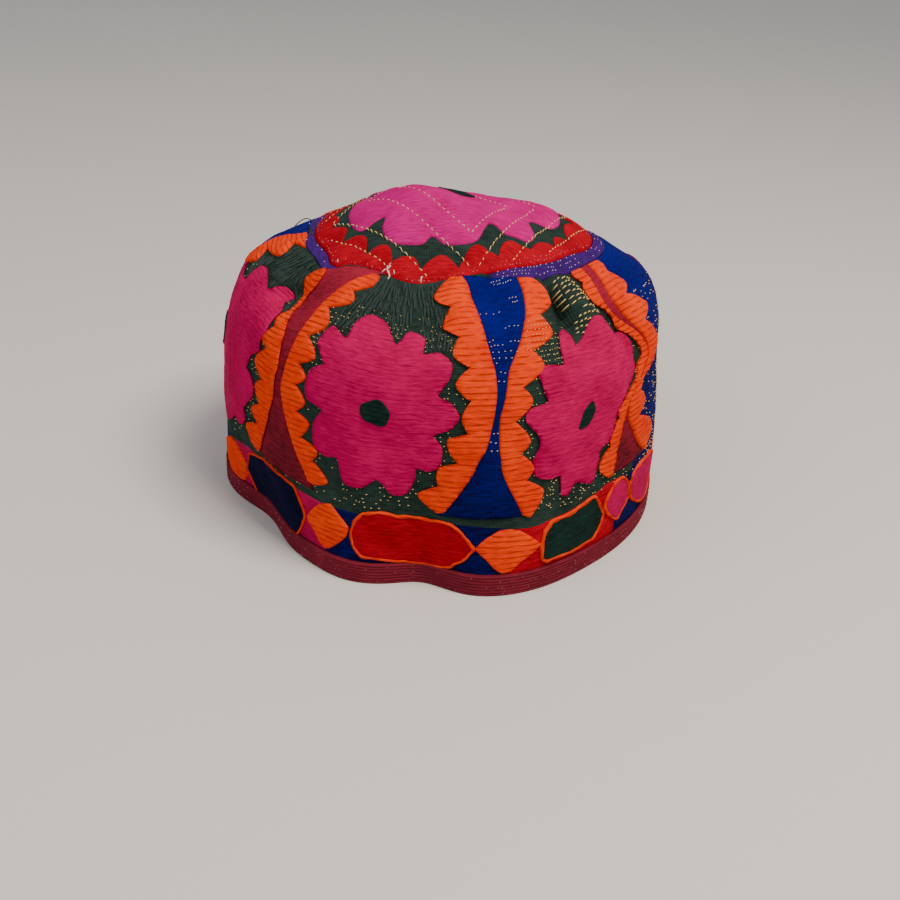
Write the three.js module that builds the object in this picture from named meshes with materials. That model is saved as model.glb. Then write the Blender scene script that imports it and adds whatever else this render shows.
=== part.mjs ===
// A round hat of thick embroidered cloth that stands on its rim, open underneath.
// Millimetres, +Z up. The origin is on the hat's axis in the plane of the rim, and the front is towards -Y.
// A turn is an angle round the axis in degrees: 0 is the front and 90 is the +X side.
import * as THREE from "three";

// Driving dimensions of the whole hat
const RIM_RADIUS = 88; // outside of the cloth at the rim
const SEAM_HEIGHT = 105; // from the rim up to the seam between wall and crown, at the sides
const SEAM_RADIUS = 54; // of that seam
const CROWN_RISE = 15; // from the seam up to the middle of the crown, without its peak

// Driving dimensions of the pieces
const CLOTH = 2; // thickness of the embroidered cloth of crown, wall and band
const TAPE = 1.4; // thickness of the tape round the crown
const TAPE_WIDTH = 5; // mean width of tape that shows
const BRAID = 1; // thickness of one leaf of the folded braid
const HEM_HEIGHT = 8.5; // how far the braid reaches up the cloth
const BAND_HEIGHT = 20; // from the braid's top edge up to the side wall
const WAVE_REACH = 28; // height at which a wave of the rim has lost half of its depth
const GAP = 0.3; // clearance from piece to piece

// Steps of the surfaces
const STEPS_AROUND = 84;
const WALL_ROWS = 14;
const BAND_ROWS = 2;
const TAPE_ROWS = 1;
const CROWN_ROWS = 7;
const BRAID_ROUNDING = 0.6; // share of a leaf's thickness that is taken off the fold's corners

const FULL_TURN = 360;

// Outline of the wall from rim to seam. up is a share of the seam's height, and out is a share of the way from
// the seam's radius to the rim's.
const WALL_OUTLINE = [
  { up: 0, out: 1 },
  { up: 0.27, out: 1.0 },
  { up: 0.48, out: 0.98 },
  { up: 0.65, out: 0.925 },
  { up: 0.77, out: 0.82 },
  { up: 0.865, out: 0.64 },
  { up: 0.93, out: 0.42 },
  { up: 0.975, out: 0.21 },
  { up: 0.993, out: 0.08 },
  { up: 1.0, out: 0 },
];

// Waves of the rim, which fade upwards. depth is a share of the rim's radius, outwards where it is positive, and
// spread is in degrees of turn.
const RIM_WAVES = [
  { turn: -55, depth: -0.112, spread: 16 },
  { turn: -20, depth: 0.032, spread: 9 },
  { turn: -2, depth: -0.068, spread: 8 },
  { turn: 16, depth: 0.068, spread: 20 },
  { turn: 105, depth: 0.016, spread: 18 },
  { turn: 140, depth: -0.034, spread: 16 },
  { turn: 174, depth: 0.032, spread: 18 },
  { turn: -150, depth: -0.032, spread: 15 },
  { turn: -113, depth: 0.016, spread: 16 },
];

// Dents, folds and puffs of the wall. up and reach are shares of the outline's length, depth is a share of the rim's
// radius, spread is in degrees, and lean is the turn that the fold's line gains over the whole outline.
const WALL_FOLDS = [
  { turn: -88, up: 0.55, depth: 0.012, spread: 36, reach: 0.2, lean: 0 },
  { turn: 88, up: 0.5, depth: -0.012, spread: 40, reach: 0.16, lean: 0 },
  { turn: -102, up: 0.77, depth: 0.028, spread: 26, reach: 0.11, lean: 0 },
  { turn: 98, up: 0.74, depth: 0.036, spread: 30, reach: 0.1, lean: 0 },
  { turn: -49, up: 0.84, depth: -0.05, spread: 8, reach: 0.09, lean: 60 },
  { turn: -28, up: 0.9, depth: 0.024, spread: 11, reach: 0.09, lean: 30 },
  { turn: -7, up: 0.86, depth: -0.022, spread: 9, reach: 0.08, lean: 30 },
  { turn: 4, up: 0.86, depth: 0.016, spread: 5, reach: 0.08, lean: 0 },
  { turn: 13, up: 0.9, depth: -0.02, spread: 6, reach: 0.07, lean: 0 },
  { turn: 26, up: 0.86, depth: 0.018, spread: 6, reach: 0.1, lean: 0 },
  { turn: 34.5, up: 0.84, depth: -0.045, spread: 5, reach: 0.09, lean: 0 },
  { turn: 45, up: 0.84, depth: 0.022, spread: 6, reach: 0.1, lean: 0 },
  { turn: 55, up: 0.76, depth: -0.034, spread: 5.5, reach: 0.13, lean: -40 },
  { turn: 66, up: 0.8, depth: 0.018, spread: 8, reach: 0.14, lean: -40 },
  { turn: 120, up: 0.86, depth: -0.026, spread: 8, reach: 0.09, lean: 0 },
  { turn: 138, up: 0.85, depth: -0.036, spread: 7, reach: 0.11, lean: 25 },
  { turn: 172, up: 0.88, depth: -0.022, spread: 9, reach: 0.08, lean: 0 },
  { turn: -162, up: 0.8, depth: 0.02, spread: 12, reach: 0.12, lean: 0 },
  { turn: -140, up: 0.84, depth: -0.036, spread: 7, reach: 0.11, lean: -25 },
  { turn: -118, up: 0.86, depth: -0.024, spread: 8, reach: 0.09, lean: 0 },
];

// Where the crown's seam leaves its circle, in shares of its radius.
const SEAM_WAVES = [
  { turn: -88, depth: -0.025, spread: 24 },
  { turn: -22, depth: 0.035, spread: 20 },
  { turn: 36, depth: -0.06, spread: 28 },
  { turn: 88, depth: 0.025, spread: 24 },
  { turn: 150, depth: -0.04, spread: 24 },
  { turn: -130, depth: 0.02, spread: 26 },
];

// Where the wall stands taller or has sunk, in shares of its height, more and more towards the seam.
const HEIGHT_WAVES = [
  { turn: 30, depth: 0.034, spread: 32 },
  { turn: 176, depth: -0.055, spread: 66 },
];

// Where the visible tape is wider or narrower, in shares of its mean width.
const TAPE_WAVES = [
  { turn: -14, depth: -0.72, spread: 26 },
  { turn: 52, depth: 0.4, spread: 22 },
  { turn: 120, depth: -0.3, spread: 26 },
  { turn: -78, depth: -0.2, spread: 16 },
  { turn: -160, depth: 0.25, spread: 24 },
];

// The crown's peak and hollows. right and back are shares of the seam's radius, rise is a share of the crown's, and
// spread is a share of the seam's radius.
const CROWN_FORMS = [
  { right: -0.3, back: -0.16, rise: 0.38, spread: 0.36 },
  { right: 0.24, back: 0.06, rise: -0.14, spread: 0.3 },
  { right: 0.74, back: 0.12, rise: 0.14, spread: 0.26 },
  { right: 0.04, back: 0.5, rise: -0.12, spread: 0.4 },
];
const DOME_POWER = 2.6; // 1 is a cone, and a larger number is a flatter top with a steeper edge

const radians = THREE.MathUtils.degToRad;

// 1 at no distance, falling smoothly to nothing past two spreads.
function bump(distance, spread) {
  return Math.exp(-((distance / spread) ** 2));
}

// The shorter way round from one turn to another, in degrees.
function turnBetween(from, to) {
  return THREE.MathUtils.euclideanModulo(to - from + FULL_TURN / 2, FULL_TURN) - FULL_TURN / 2;
}

function sumOfWaves(waves, turn) {
  return waves.reduce((sum, wave) => sum + wave.depth * bump(turnBetween(wave.turn, turn), wave.spread), 0);
}

const outline = new THREE.SplineCurve(
  WALL_OUTLINE.map(
    ({ up, out }) => new THREE.Vector2(SEAM_RADIUS + out * (RIM_RADIUS - SEAM_RADIUS), up * SEAM_HEIGHT),
  ),
);
const OUTLINE_LENGTH = outline.getLength();
const BAND_TOP = HEM_HEIGHT + BAND_HEIGHT;

function seamRadius(turn) {
  return SEAM_RADIUS * (1 + sumOfWaves(SEAM_WAVES, turn));
}

function tapeWidth(turn) {
  return TAPE_WIDTH * (1 + sumOfWaves(TAPE_WAVES, turn));
}

function foldDepth(turn, share) {
  return WALL_FOLDS.reduce((sum, fold) => {
    const line = fold.turn + fold.lean * (share - fold.up);
    const across = bump(turnBetween(line, turn), fold.spread);
    return sum + RIM_RADIUS * fold.depth * across * bump(share - fold.up, fold.reach);
  }, 0);
}

// A point of the wall in the half plane at a turn: along is the way up the outline in millimetres, and depth is how
// far inside the outer face it lies. x is the radius and y the height.
function wallPoint(turn, along, depth) {
  const share = THREE.MathUtils.clamp(along / OUTLINE_LENGTH, 0, 1);
  const point = outline.getPointAt(share);
  const tangent = outline.getTangentAt(share);
  const outwards = new THREE.Vector2(tangent.y, -tangent.x);
  const fade = 1 / (1 + (along / WAVE_REACH) ** 2);
  const wave = RIM_RADIUS * sumOfWaves(RIM_WAVES, turn) * fade;
  const seamShift = (seamRadius(turn) - SEAM_RADIUS) * share ** 4;
  point.x += wave + seamShift;
  point.y *= 1 + sumOfWaves(HEIGHT_WAVES, turn) * share;
  return point.addScaledVector(outwards, foldDepth(turn, share) - depth);
}

// A point of the crown at a turn, a share of the way from its middle to its edge, which clears both edges of the tape.
function crownPoint(turn, share, depth) {
  const edge = wallPoint(turn, OUTLINE_LENGTH, 0);
  const underEdge = wallPoint(turn, OUTLINE_LENGTH, TAPE);
  const radius = share * (Math.min(edge.x, underEdge.x) - GAP);
  const right = radius * Math.sin(radians(turn));
  const back = -radius * Math.cos(radians(turn));
  const dome = CROWN_RISE * (1 - share ** DOME_POWER);
  const forms = CROWN_FORMS.reduce((sum, form) => {
    const distance = Math.hypot(right - form.right * SEAM_RADIUS, back - form.back * SEAM_RADIUS);
    return sum + CROWN_RISE * form.rise * bump(distance, form.spread * SEAM_RADIUS);
  }, 0);
  const edgeShift = (edge.y - SEAM_HEIGHT) * share ** 2;
  const height = SEAM_HEIGHT + dome + forms * (1 - share ** 2) + edgeShift;
  return new THREE.Vector2(radius, height - depth);
}

// The evenly spaced numbers from first to last, both included.
function spaced(first, last, rows) {
  return Array.from({ length: rows + 1 }, (_, row) => THREE.MathUtils.lerp(first, last, row / rows));
}

// The closed section of a strip of cloth that follows the wall. ways lists how far up the outline each of its rows is.
function stripSection(turn, ways, thickness) {
  const outside = ways.map((along) => wallPoint(turn, along, 0));
  const inside = ways.map((along) => wallPoint(turn, along, thickness)).reverse();
  return [...outside, ...inside, outside[0].clone()];
}

// The closed section of the braid: two leaves and the fold between them that the hat stands on.
function braidSection(turn) {
  const out = -GAP - BRAID;
  const back = CLOTH + GAP;
  const rounding = BRAID * BRAID_ROUNDING;
  const corners = [
    { along: 0, depth: out + rounding },
    { along: rounding, depth: out },
    { along: HEM_HEIGHT - rounding, depth: out },
    { along: HEM_HEIGHT, depth: out + rounding },
    { along: HEM_HEIGHT, depth: -GAP },
    { along: BRAID, depth: -GAP },
    { along: BRAID, depth: back },
    { along: HEM_HEIGHT, depth: back },
    { along: HEM_HEIGHT, depth: back + BRAID },
    { along: rounding, depth: back + BRAID },
    { along: 0, depth: back + BRAID - rounding },
  ];
  const points = corners.map(({ along, depth }) => wallPoint(turn, along, depth));
  return [...points, points[0].clone()];
}

function crownSection(turn) {
  const shares = spaced(0, 1, CROWN_ROWS);
  const inside = shares.map((share) => crownPoint(turn, share, CLOTH));
  const outside = shares.map((share) => crownPoint(turn, share, 0)).reverse();
  return [...inside, ...outside];
}

// A closed body whose section changes as it goes round: a lathe's mesh, with each of its columns moved to the section
// at that turn.
function turned(sectionAt) {
  const first = sectionAt(0);
  const geometry = new THREE.LatheGeometry(first, STEPS_AROUND);
  geometry.rotateX(Math.PI / 2);
  const position = geometry.getAttribute("position");
  for (let column = 0; column <= STEPS_AROUND; column += 1) {
    const turn = (FULL_TURN * (column % STEPS_AROUND)) / STEPS_AROUND;
    const sine = Math.sin(radians(turn));
    const cosine = Math.cos(radians(turn));
    sectionAt(turn).forEach(({ x, y }, row) => {
      position.setXYZ(column * first.length + row, x * sine, -x * cosine, y);
    });
  }
  geometry.computeVertexNormals();
  return geometry;
}

const hat = new THREE.Group();

function addPiece(name, color, roughness, sectionAt) {
  const material = new THREE.MeshStandardMaterial({ color, roughness, metalness: 0 });
  const mesh = new THREE.Mesh(turned(sectionAt), material);
  mesh.name = name;
  hat.add(mesh);
}

addPiece("hem_braid", "#7a2030", 0.8, braidSection);

const bandWays = [BRAID + GAP, ...spaced(HEM_HEIGHT, BAND_TOP - GAP / 2, BAND_ROWS)];
addPiece("lower_band", "#c8202a", 0.9, (turn) => stripSection(turn, bandWays, CLOTH));

addPiece("side_wall", "#2a3b34", 0.9, (turn) =>
  stripSection(turn, spaced(BAND_TOP + GAP / 2, OUTLINE_LENGTH - tapeWidth(turn) - GAP, WALL_ROWS), CLOTH),
);

addPiece("crown_tape", "#2a1a70", 0.7, (turn) =>
  stripSection(turn, spaced(OUTLINE_LENGTH - tapeWidth(turn), OUTLINE_LENGTH, TAPE_ROWS), TAPE),
);

addPiece("crown", "#d6146e", 0.9, crownSection);

export default hat;
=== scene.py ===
import math

import bmesh
import bpy
import numpy as np
from mathutils import Matrix, Vector


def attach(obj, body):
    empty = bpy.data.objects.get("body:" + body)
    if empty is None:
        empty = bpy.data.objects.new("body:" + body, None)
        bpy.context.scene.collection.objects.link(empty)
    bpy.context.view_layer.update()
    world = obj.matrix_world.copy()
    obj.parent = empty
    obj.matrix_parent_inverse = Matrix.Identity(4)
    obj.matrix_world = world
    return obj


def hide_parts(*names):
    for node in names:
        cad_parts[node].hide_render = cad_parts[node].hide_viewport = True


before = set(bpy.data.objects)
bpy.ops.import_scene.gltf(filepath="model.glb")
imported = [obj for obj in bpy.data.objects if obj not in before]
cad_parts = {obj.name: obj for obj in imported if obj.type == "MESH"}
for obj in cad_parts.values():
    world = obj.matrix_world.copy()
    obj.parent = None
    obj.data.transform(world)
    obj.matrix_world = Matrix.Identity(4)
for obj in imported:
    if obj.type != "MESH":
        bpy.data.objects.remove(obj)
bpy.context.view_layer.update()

# An embroidered cap of cotton and wool: the cloth, each motif stitched on it and the loose threads.
# Lengths are in millimetres until set_places() puts a mesh in metres. A turn is in degrees from the front
# towards the right, along is the way up the wall's outline from the rim, and depth is how far inside the
# cloth's outer face a point lies. On the flat, across is a turn in millimetres of the rim, and up is a
# way along.

MM = 0.001
HALF_TURN = 180.0
WHOLE_TURN = 360.0

RIM_RADIUS = 88.0
SEAM_HEIGHT = 105.0
SEAM_RADIUS = 54.0
CROWN_RISE = 15.0
CLOTH = 2.0
TAPE = 1.4
TAPE_WIDTH = 5.0
BRAID = 1.0
HEM_HEIGHT = 8.5
BAND_HEIGHT = 20.0
WAVE_REACH = 28.0
GAP = 0.3
DOME_POWER = 2.6
BAND_TOP = HEM_HEIGHT + BAND_HEIGHT
DEGREE = RIM_RADIUS * math.pi / HALF_TURN

# up, out
WALL_OUTLINE = [
    (0, 1), (0.27, 1.0), (0.48, 0.98), (0.65, 0.925), (0.77, 0.82), (0.865, 0.64), (0.93, 0.42),
    (0.975, 0.21), (0.993, 0.08), (1.0, 0),
]
# turn, depth as a share of the rim's radius, spread
RIM_WAVES = [
    (-55, -0.112, 16), (-20, 0.032, 9), (-2, -0.068, 8), (16, 0.068, 20), (105, 0.016, 18),
    (140, -0.034, 16), (174, 0.032, 18), (-150, -0.032, 15), (-113, 0.016, 16),
]
# turn, up, depth, spread, reach, lean
WALL_FOLDS = [
    (-88, 0.55, 0.012, 36, 0.2, 0), (88, 0.5, -0.012, 40, 0.16, 0), (-102, 0.77, 0.028, 26, 0.11, 0),
    (98, 0.74, 0.036, 30, 0.1, 0), (-49, 0.84, -0.05, 8, 0.09, 60), (-28, 0.9, 0.024, 11, 0.09, 30),
    (-7, 0.86, -0.022, 9, 0.08, 30), (4, 0.86, 0.016, 5, 0.08, 0), (13, 0.9, -0.02, 6, 0.07, 0),
    (26, 0.86, 0.018, 6, 0.1, 0), (34.5, 0.84, -0.045, 5, 0.09, 0), (45, 0.84, 0.022, 6, 0.1, 0),
    (55, 0.76, -0.034, 5.5, 0.13, -40), (66, 0.8, 0.018, 8, 0.14, -40), (120, 0.86, -0.026, 8, 0.09, 0),
    (138, 0.85, -0.036, 7, 0.11, 25), (172, 0.88, -0.022, 9, 0.08, 0), (-162, 0.8, 0.02, 12, 0.12, 0),
    (-140, 0.84, -0.036, 7, 0.11, -25), (-118, 0.86, -0.024, 8, 0.09, 0),
]
# Sharper creases and swells than the solids have, in the same columns
SOFT_FOLDS = [
    (36.8, 0.86, -0.066, 1.5, 0.075, 0), (33.5, 0.87, 0.014, 1.6, 0.07, 0),
    (41.5, 0.88, 0.02, 3.5, 0.07, -10), (-56, 0.82, -0.034, 2.4, 0.06, 70),
    (-37, 0.95, 0.022, 9, 0.05, 30), (-20, 0.86, -0.014, 5, 0.06, 30), (-12, 0.87, 0.014, 4, 0.05, 0),
    (-1, 0.85, -0.02, 3.2, 0.05, 30), (8.5, 0.93, -0.02, 3.2, 0.035, 0), (12, 0.84, 0.008, 3, 0.06, 0),
    (55.5, 0.73, -0.026, 2.6, 0.17, -42), (-66, 0.9, -0.014, 3, 0.04, 20), (-76, 0.9, 0.012, 5, 0.05, 0),
    (-24, 0.78, -0.008, 3, 0.05, 0), (76, 0.86, -0.014, 4, 0.07, -20), (108, 0.88, -0.02, 3, 0.06, 10),
    (131, 0.86, -0.022, 3, 0.08, 20), (150, 0.84, 0.016, 7, 0.07, 0), (166, 0.87, -0.02, 3, 0.07, -10),
    (-172, 0.86, -0.02, 3, 0.07, 20), (-136, 0.85, -0.024, 3, 0.08, -20),
    (-100, 0.88, -0.018, 3.5, 0.06, 10),
]
PUCKER = 0.35
PUCKER_SIZE = 13.0
SMALL_PUCKER_SIZE = 6.0
# The puckers fade out over this many degrees where the two ends of the turn meet at the back.
BACK_FADE = 12.0
# turn, depth, spread. The last four rows of SEAM_WAVES and of HEIGHT_WAVES are scene.py's own.
SEAM_WAVES = [
    (-88, -0.025, 24), (-22, 0.035, 20), (36, -0.06, 28), (88, 0.025, 24), (150, -0.04, 24),
    (-130, 0.02, 26), (-10, 0.035, 11), (-47, 0.06, 7), (67, -0.06, 14), (100, 0.02, 12),
]
HEIGHT_WAVES = [
    (30, 0.034, 32), (176, -0.055, 66), (-11, -0.018, 11), (-48, -0.016, 8), (102, 0.02, 18),
    (62, 0.01, 14),
]
TAPE_WAVES = [(-14, -0.72, 26), (52, 0.4, 22), (120, -0.3, 26), (-78, -0.2, 16), (-160, 0.25, 24)]
# right, back, rise, spread
CROWN_FORMS = [
    (-0.3, -0.16, 0.38, 0.36), (0.24, 0.06, -0.14, 0.3), (0.74, 0.12, 0.14, 0.26), (0.04, 0.5, -0.12, 0.4),
]
# Further than anything that is measured
FAR_AWAY = 1e9


def bump(distance, spread):
    return np.exp(-((distance / spread) ** 2))


def turn_between(first, second):
    return (second - first + HALF_TURN) % WHOLE_TURN - HALF_TURN


def sum_of_waves(waves, turn):
    return sum(depth * bump(turn_between(at, turn), spread) for at, depth, spread in waves)


def uneven(across, up, size):
    """A smooth unevenness between about -1 and 1, with swells of this size in millimetres."""
    a = across / size
    b = up / size
    first = np.sin(2.1 * a + 1.7 * np.sin(1.3 * b + 0.4) + 0.9)
    second = np.sin(1.8 * b + 1.9 * np.sin(1.6 * a + 2.2) + 4.1)
    third = np.sin(3.7 * (a + b) + 1.2 * np.sin(2.9 * (a - b)))
    return (first + second + 0.7 * third) / 2.7


def catmull_rom(points, steps, closed=False, roundness=1.0):
    """The smooth line through these points, with this many steps in each stretch. Less roundness makes
    sharper corners."""
    points = np.array(points, float)
    if closed:
        ends = np.vstack([points[-1:], points, points[:2]])
    else:
        ends = np.vstack([points[:1], points, points[-1:]])
    w = np.linspace(0, 1, steps, endpoint=False)[:, None]
    line = []
    for before, first, second, after in zip(ends, ends[1:], ends[2:], ends[3:]):
        start = (second - before) / 2 * roundness
        end = (after - first) / 2 * roundness
        cubic = 2 * first - 2 * second + start + end
        square = 3 * second - 3 * first - 2 * start - end
        line.append(((cubic * w + square) * w + start) * w + first)
    if not closed:
        line.append(points[-1:])
    return np.vstack(line)


def looked_up(table, at, column=1):
    """The value between a table's rows, whose first column is in order."""
    rows = np.array(table, float)
    return np.interp(at, rows[:, 0], rows[:, column])


OUTLINE_POINTS = [
    (SEAM_RADIUS + out * (RIM_RADIUS - SEAM_RADIUS), up * SEAM_HEIGHT) for up, out in WALL_OUTLINE
]
OUTLINE = catmull_rom(OUTLINE_POINTS, 300)
OUTLINE_WAY = np.concatenate([[0], np.cumsum(np.linalg.norm(np.diff(OUTLINE, axis=0), axis=1))])
OUTLINE_LENGTH = OUTLINE_WAY[-1]
OUTLINE_TANGENT = np.gradient(OUTLINE, OUTLINE_WAY, axis=0)
OUTLINE_TANGENT /= np.linalg.norm(OUTLINE_TANGENT, axis=1)[:, None]


def fold_depth(turn, share):
    total = 0
    for at, up, depth, spread, reach, lean in WALL_FOLDS + SOFT_FOLDS:
        line = at + lean * (share - up)
        total = total + RIM_RADIUS * depth * bump(turn_between(line, turn), spread) * bump(share - up, reach)
    return total


def tape_width(turn):
    return TAPE_WIDTH * (1 + sum_of_waves(TAPE_WAVES, turn))


def wall_point(turn, along, depth):
    """Points of the wall, in millimetres."""
    turn = turn_between(0, turn)
    share = np.clip(along / OUTLINE_LENGTH, 0, 1)
    way = share * OUTLINE_LENGTH
    radius = np.interp(way, OUTLINE_WAY, OUTLINE[:, 0])
    height = np.interp(way, OUTLINE_WAY, OUTLINE[:, 1])
    rising_out = np.interp(way, OUTLINE_WAY, OUTLINE_TANGENT[:, 0])
    rising_up = np.interp(way, OUTLINE_WAY, OUTLINE_TANGENT[:, 1])
    fade = 1 / (1 + (along / WAVE_REACH) ** 2)
    radius = radius + RIM_RADIUS * sum_of_waves(RIM_WAVES, turn) * fade
    radius = radius + SEAM_RADIUS * sum_of_waves(SEAM_WAVES, turn) * share**4
    height = height * (1 + sum_of_waves(HEIGHT_WAVES, turn) * share)
    small = uneven(turn * DEGREE + 40, along, SMALL_PUCKER_SIZE)
    puckers = uneven(turn * DEGREE, along, PUCKER_SIZE) + 0.5 * small
    # They fade out at the back, at the braid and at the seam.
    puckers = puckers * np.clip((HALF_TURN - np.abs(turn)) / BACK_FADE, 0, 1)
    puckers = puckers * np.clip(along / HEM_HEIGHT - 1, 0, 1) * (1 - share**6)
    out = fold_depth(turn, share) + PUCKER * puckers - depth
    radius = radius + rising_up * out
    height = height - rising_out * out
    angle = np.radians(turn)
    return np.stack([radius * np.sin(angle), -radius * np.cos(angle), height], -1)


# The quilting runs as nested four-sided rounds. Each side is a line across the crown, given by the
# direction that it faces and how far from the middle it lies.
QUILT_FACES = [(-0.76, -0.65), (0.917, -0.4)]
# distance of the first pair of sides, distance of the second pair
QUILT_ROUNDS = [(15.2, 20), (26, 29), (40, 38), (48, 45.5)]
QUILT_DIP = 0.7
QUILT_SOFTNESS = 1.8
# The dip of the quilting fades out over this part of the crown's radius, next to the seam.
QUILT_FADE = 1 / 12


def crown_edge(turn):
    edge = wall_point(turn, OUTLINE_LENGTH, 0.0)
    under = wall_point(turn, OUTLINE_LENGTH, TAPE)
    radius = np.minimum(np.hypot(edge[..., 0], edge[..., 1]), np.hypot(under[..., 0], under[..., 1])) - GAP
    return radius, edge[..., 2]


def quilt_distance(x, y):
    """How far each point of the crown is from the nearest line of quilting."""
    first = np.abs(x * QUILT_FACES[0][0] + y * QUILT_FACES[0][1])
    second = np.abs(x * QUILT_FACES[1][0] + y * QUILT_FACES[1][1])
    nearest = np.full(np.shape(x), FAR_AWAY)
    for near, far in QUILT_ROUNDS:
        away = np.abs(np.maximum(first / near, second / far) - 1)
        nearest = np.minimum(nearest, away * (near + far) / 2)
    return nearest


def crown_point(turn, share, depth):
    """Points of the crown, in millimetres. share is the way from its middle to its edge."""
    edge_radius, edge_height = crown_edge(turn)
    angle = np.radians(turn)
    x = share * edge_radius * np.sin(angle)
    y = -share * edge_radius * np.cos(angle)
    dome = CROWN_RISE * (1 - share**DOME_POWER)
    forms = 0
    for right, back, rise, spread in CROWN_FORMS:
        distance = np.hypot(x - right * SEAM_RADIUS, y - back * SEAM_RADIUS)
        forms = forms + CROWN_RISE * rise * bump(distance, spread * SEAM_RADIUS)
    dip = QUILT_DIP * bump(quilt_distance(x, y), QUILT_SOFTNESS) * np.clip((1 - share) / QUILT_FADE, 0, 1)
    height = SEAM_HEIGHT + dome + forms * (1 - share**2) + (edge_height - SEAM_HEIGHT) * share**2 - dip
    return np.stack([x, y, height - depth], -1)


# Materials


def linear(code, share=1.0):
    """The linear colour of an sRGB hex value, or of a darker one that has this share of its light."""
    parts = [int(code[i : i + 2], 16) / 255 for i in (1, 3, 5)]
    return (*[share * (p / 12.92 if p <= 0.04045 else ((p + 0.055) / 1.055) ** 2.4) for p in parts], 1)


def add(tree, kind, sockets=None, **settings):
    """Adds a shader node, with its settings and with a value or a link for each of its sockets."""
    made = tree.nodes.new("ShaderNode" + kind)
    for name, value in settings.items():
        setattr(made, name, value)
    for socket, value in (sockets or {}).items():
        if isinstance(value, bpy.types.NodeSocket):
            tree.links.new(value, made.inputs[socket])
        else:
            made.inputs[socket].default_value = value
    return made


def new_material(name):
    made = bpy.data.materials.new(name)
    made.use_nodes = True
    made.node_tree.nodes.clear()
    return made, made.node_tree


def finish_material(tree, colour, height, relief, finish):
    """Joins a colour and a bump to a shader. relief is the bump's height in metres, and finish holds the
    other sockets of the shader."""
    bumped = add(tree, "Bump", {"Strength": 1.0, "Distance": relief, "Height": height})
    shader = add(tree, "BsdfPrincipled", {"Base Color": colour, "Normal": bumped.outputs[0], **finish})
    add(tree, "OutputMaterial", {"Surface": shader.outputs[0]})


# A Wave texture's bands repeat every 2 pi / 20 of its scaled coordinate.
BAND_UNIT = 2 * math.pi / 20
# Painted light: the cotton's colour is made lighter over this way up the wall.
PAINTED_LIGHT_LENGTH = 120.0


def drawn_out(tree, cloth, long, thick, detail):
    """Noise drawn out along the rows, in streaks of this length and thickness in millimetres."""
    scale = (1 / (long * MM), 1 / (thick * MM), 1)
    stretched = add(tree, "Mapping", {"Vector": cloth, "Scale": scale}).outputs[0]
    return add(tree, "TexNoise", {"Vector": stretched, "Scale": 1.0, "Detail": detail}).outputs["Fac"]


def embroidery_wool(name, light, dark, pitch, parting):
    """Worsted embroidery wool, laid flat in rows side by side: short streaks of yarn, lighter and darker,
    and between two rows a thin broken line where one sees into the shade. parting is how strongly it
    shows."""
    made, tree = new_material(name)
    cloth = add(tree, "UVMap", uv_map="cloth").outputs[0]
    wave = {
        "Vector": cloth,
        "Scale": BAND_UNIT / (pitch * MM),
        "Distortion": 3.4,
        "Detail": 3.0,
        "Detail Scale": 0.45,
    }
    rows = add(tree, "TexWave", wave, bands_direction="Y").outputs["Fac"]
    # Streaks of yarn are 4 mm long and 0.7 mm thick.
    streaks = drawn_out(tree, cloth, 4, 0.7, 4.0)
    # Loose fibres are drawn 0.35 mm thick so that they show.
    fibres = add(tree, "TexNoise", {"Vector": cloth, "Scale": 1 / (0.35 * MM), "Detail": 2.0}).outputs["Fac"]
    # The dye takes differently from one hank to the next, every 14 mm or so.
    dye = add(tree, "TexNoise", {"Vector": cloth, "Scale": 1 / (14 * MM), "Detail": 2.0}).outputs["Fac"]
    lit = add(tree, "Math", {0: dye, 1: 0.7, 2: streaks}, operation="MULTIPLY_ADD").outputs[0]
    lit = add(tree, "MapRange", {"Value": lit, "From Min": 0.55, "From Max": 1.1}).outputs[0]
    colour = add(tree, "Mix", {0: lit, 6: linear(dark), 7: linear(light)}, data_type="RGBA").outputs[2]
    # The line between two rows is a third of a row wide and comes and goes every 5 mm or so.
    line = add(tree, "MapRange", {"Value": rows, "From Min": 0.3, "From Max": 0.02}).outputs[0]
    broken = drawn_out(tree, cloth, 5, 1.5, 1.0)
    broken = add(tree, "MapRange", {"Value": broken, "From Min": 0.36, "From Max": 0.56}).outputs[0]
    line = add(tree, "Math", {0: line, 1: broken}, operation="MULTIPLY").outputs[0]
    seen = add(tree, "Math", {0: line, 1: parting}, operation="MULTIPLY").outputs[0]
    colour = add(tree, "Mix", {0: seen, 6: colour, 7: linear(dark, 0.45)}, data_type="RGBA").outputs[2]
    height = 1.0
    for part, weight in ((line, -0.8 * parting), (streaks, 0.6), (fibres, 0.3)):
        height = add(tree, "Math", {0: part, 1: weight, 2: height}, operation="MULTIPLY_ADD").outputs[0]
    finish_material(tree, colour, height, 0.35 * MM, {"Roughness": 0.9, "Specular IOR Level": 0.06})
    return made


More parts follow.
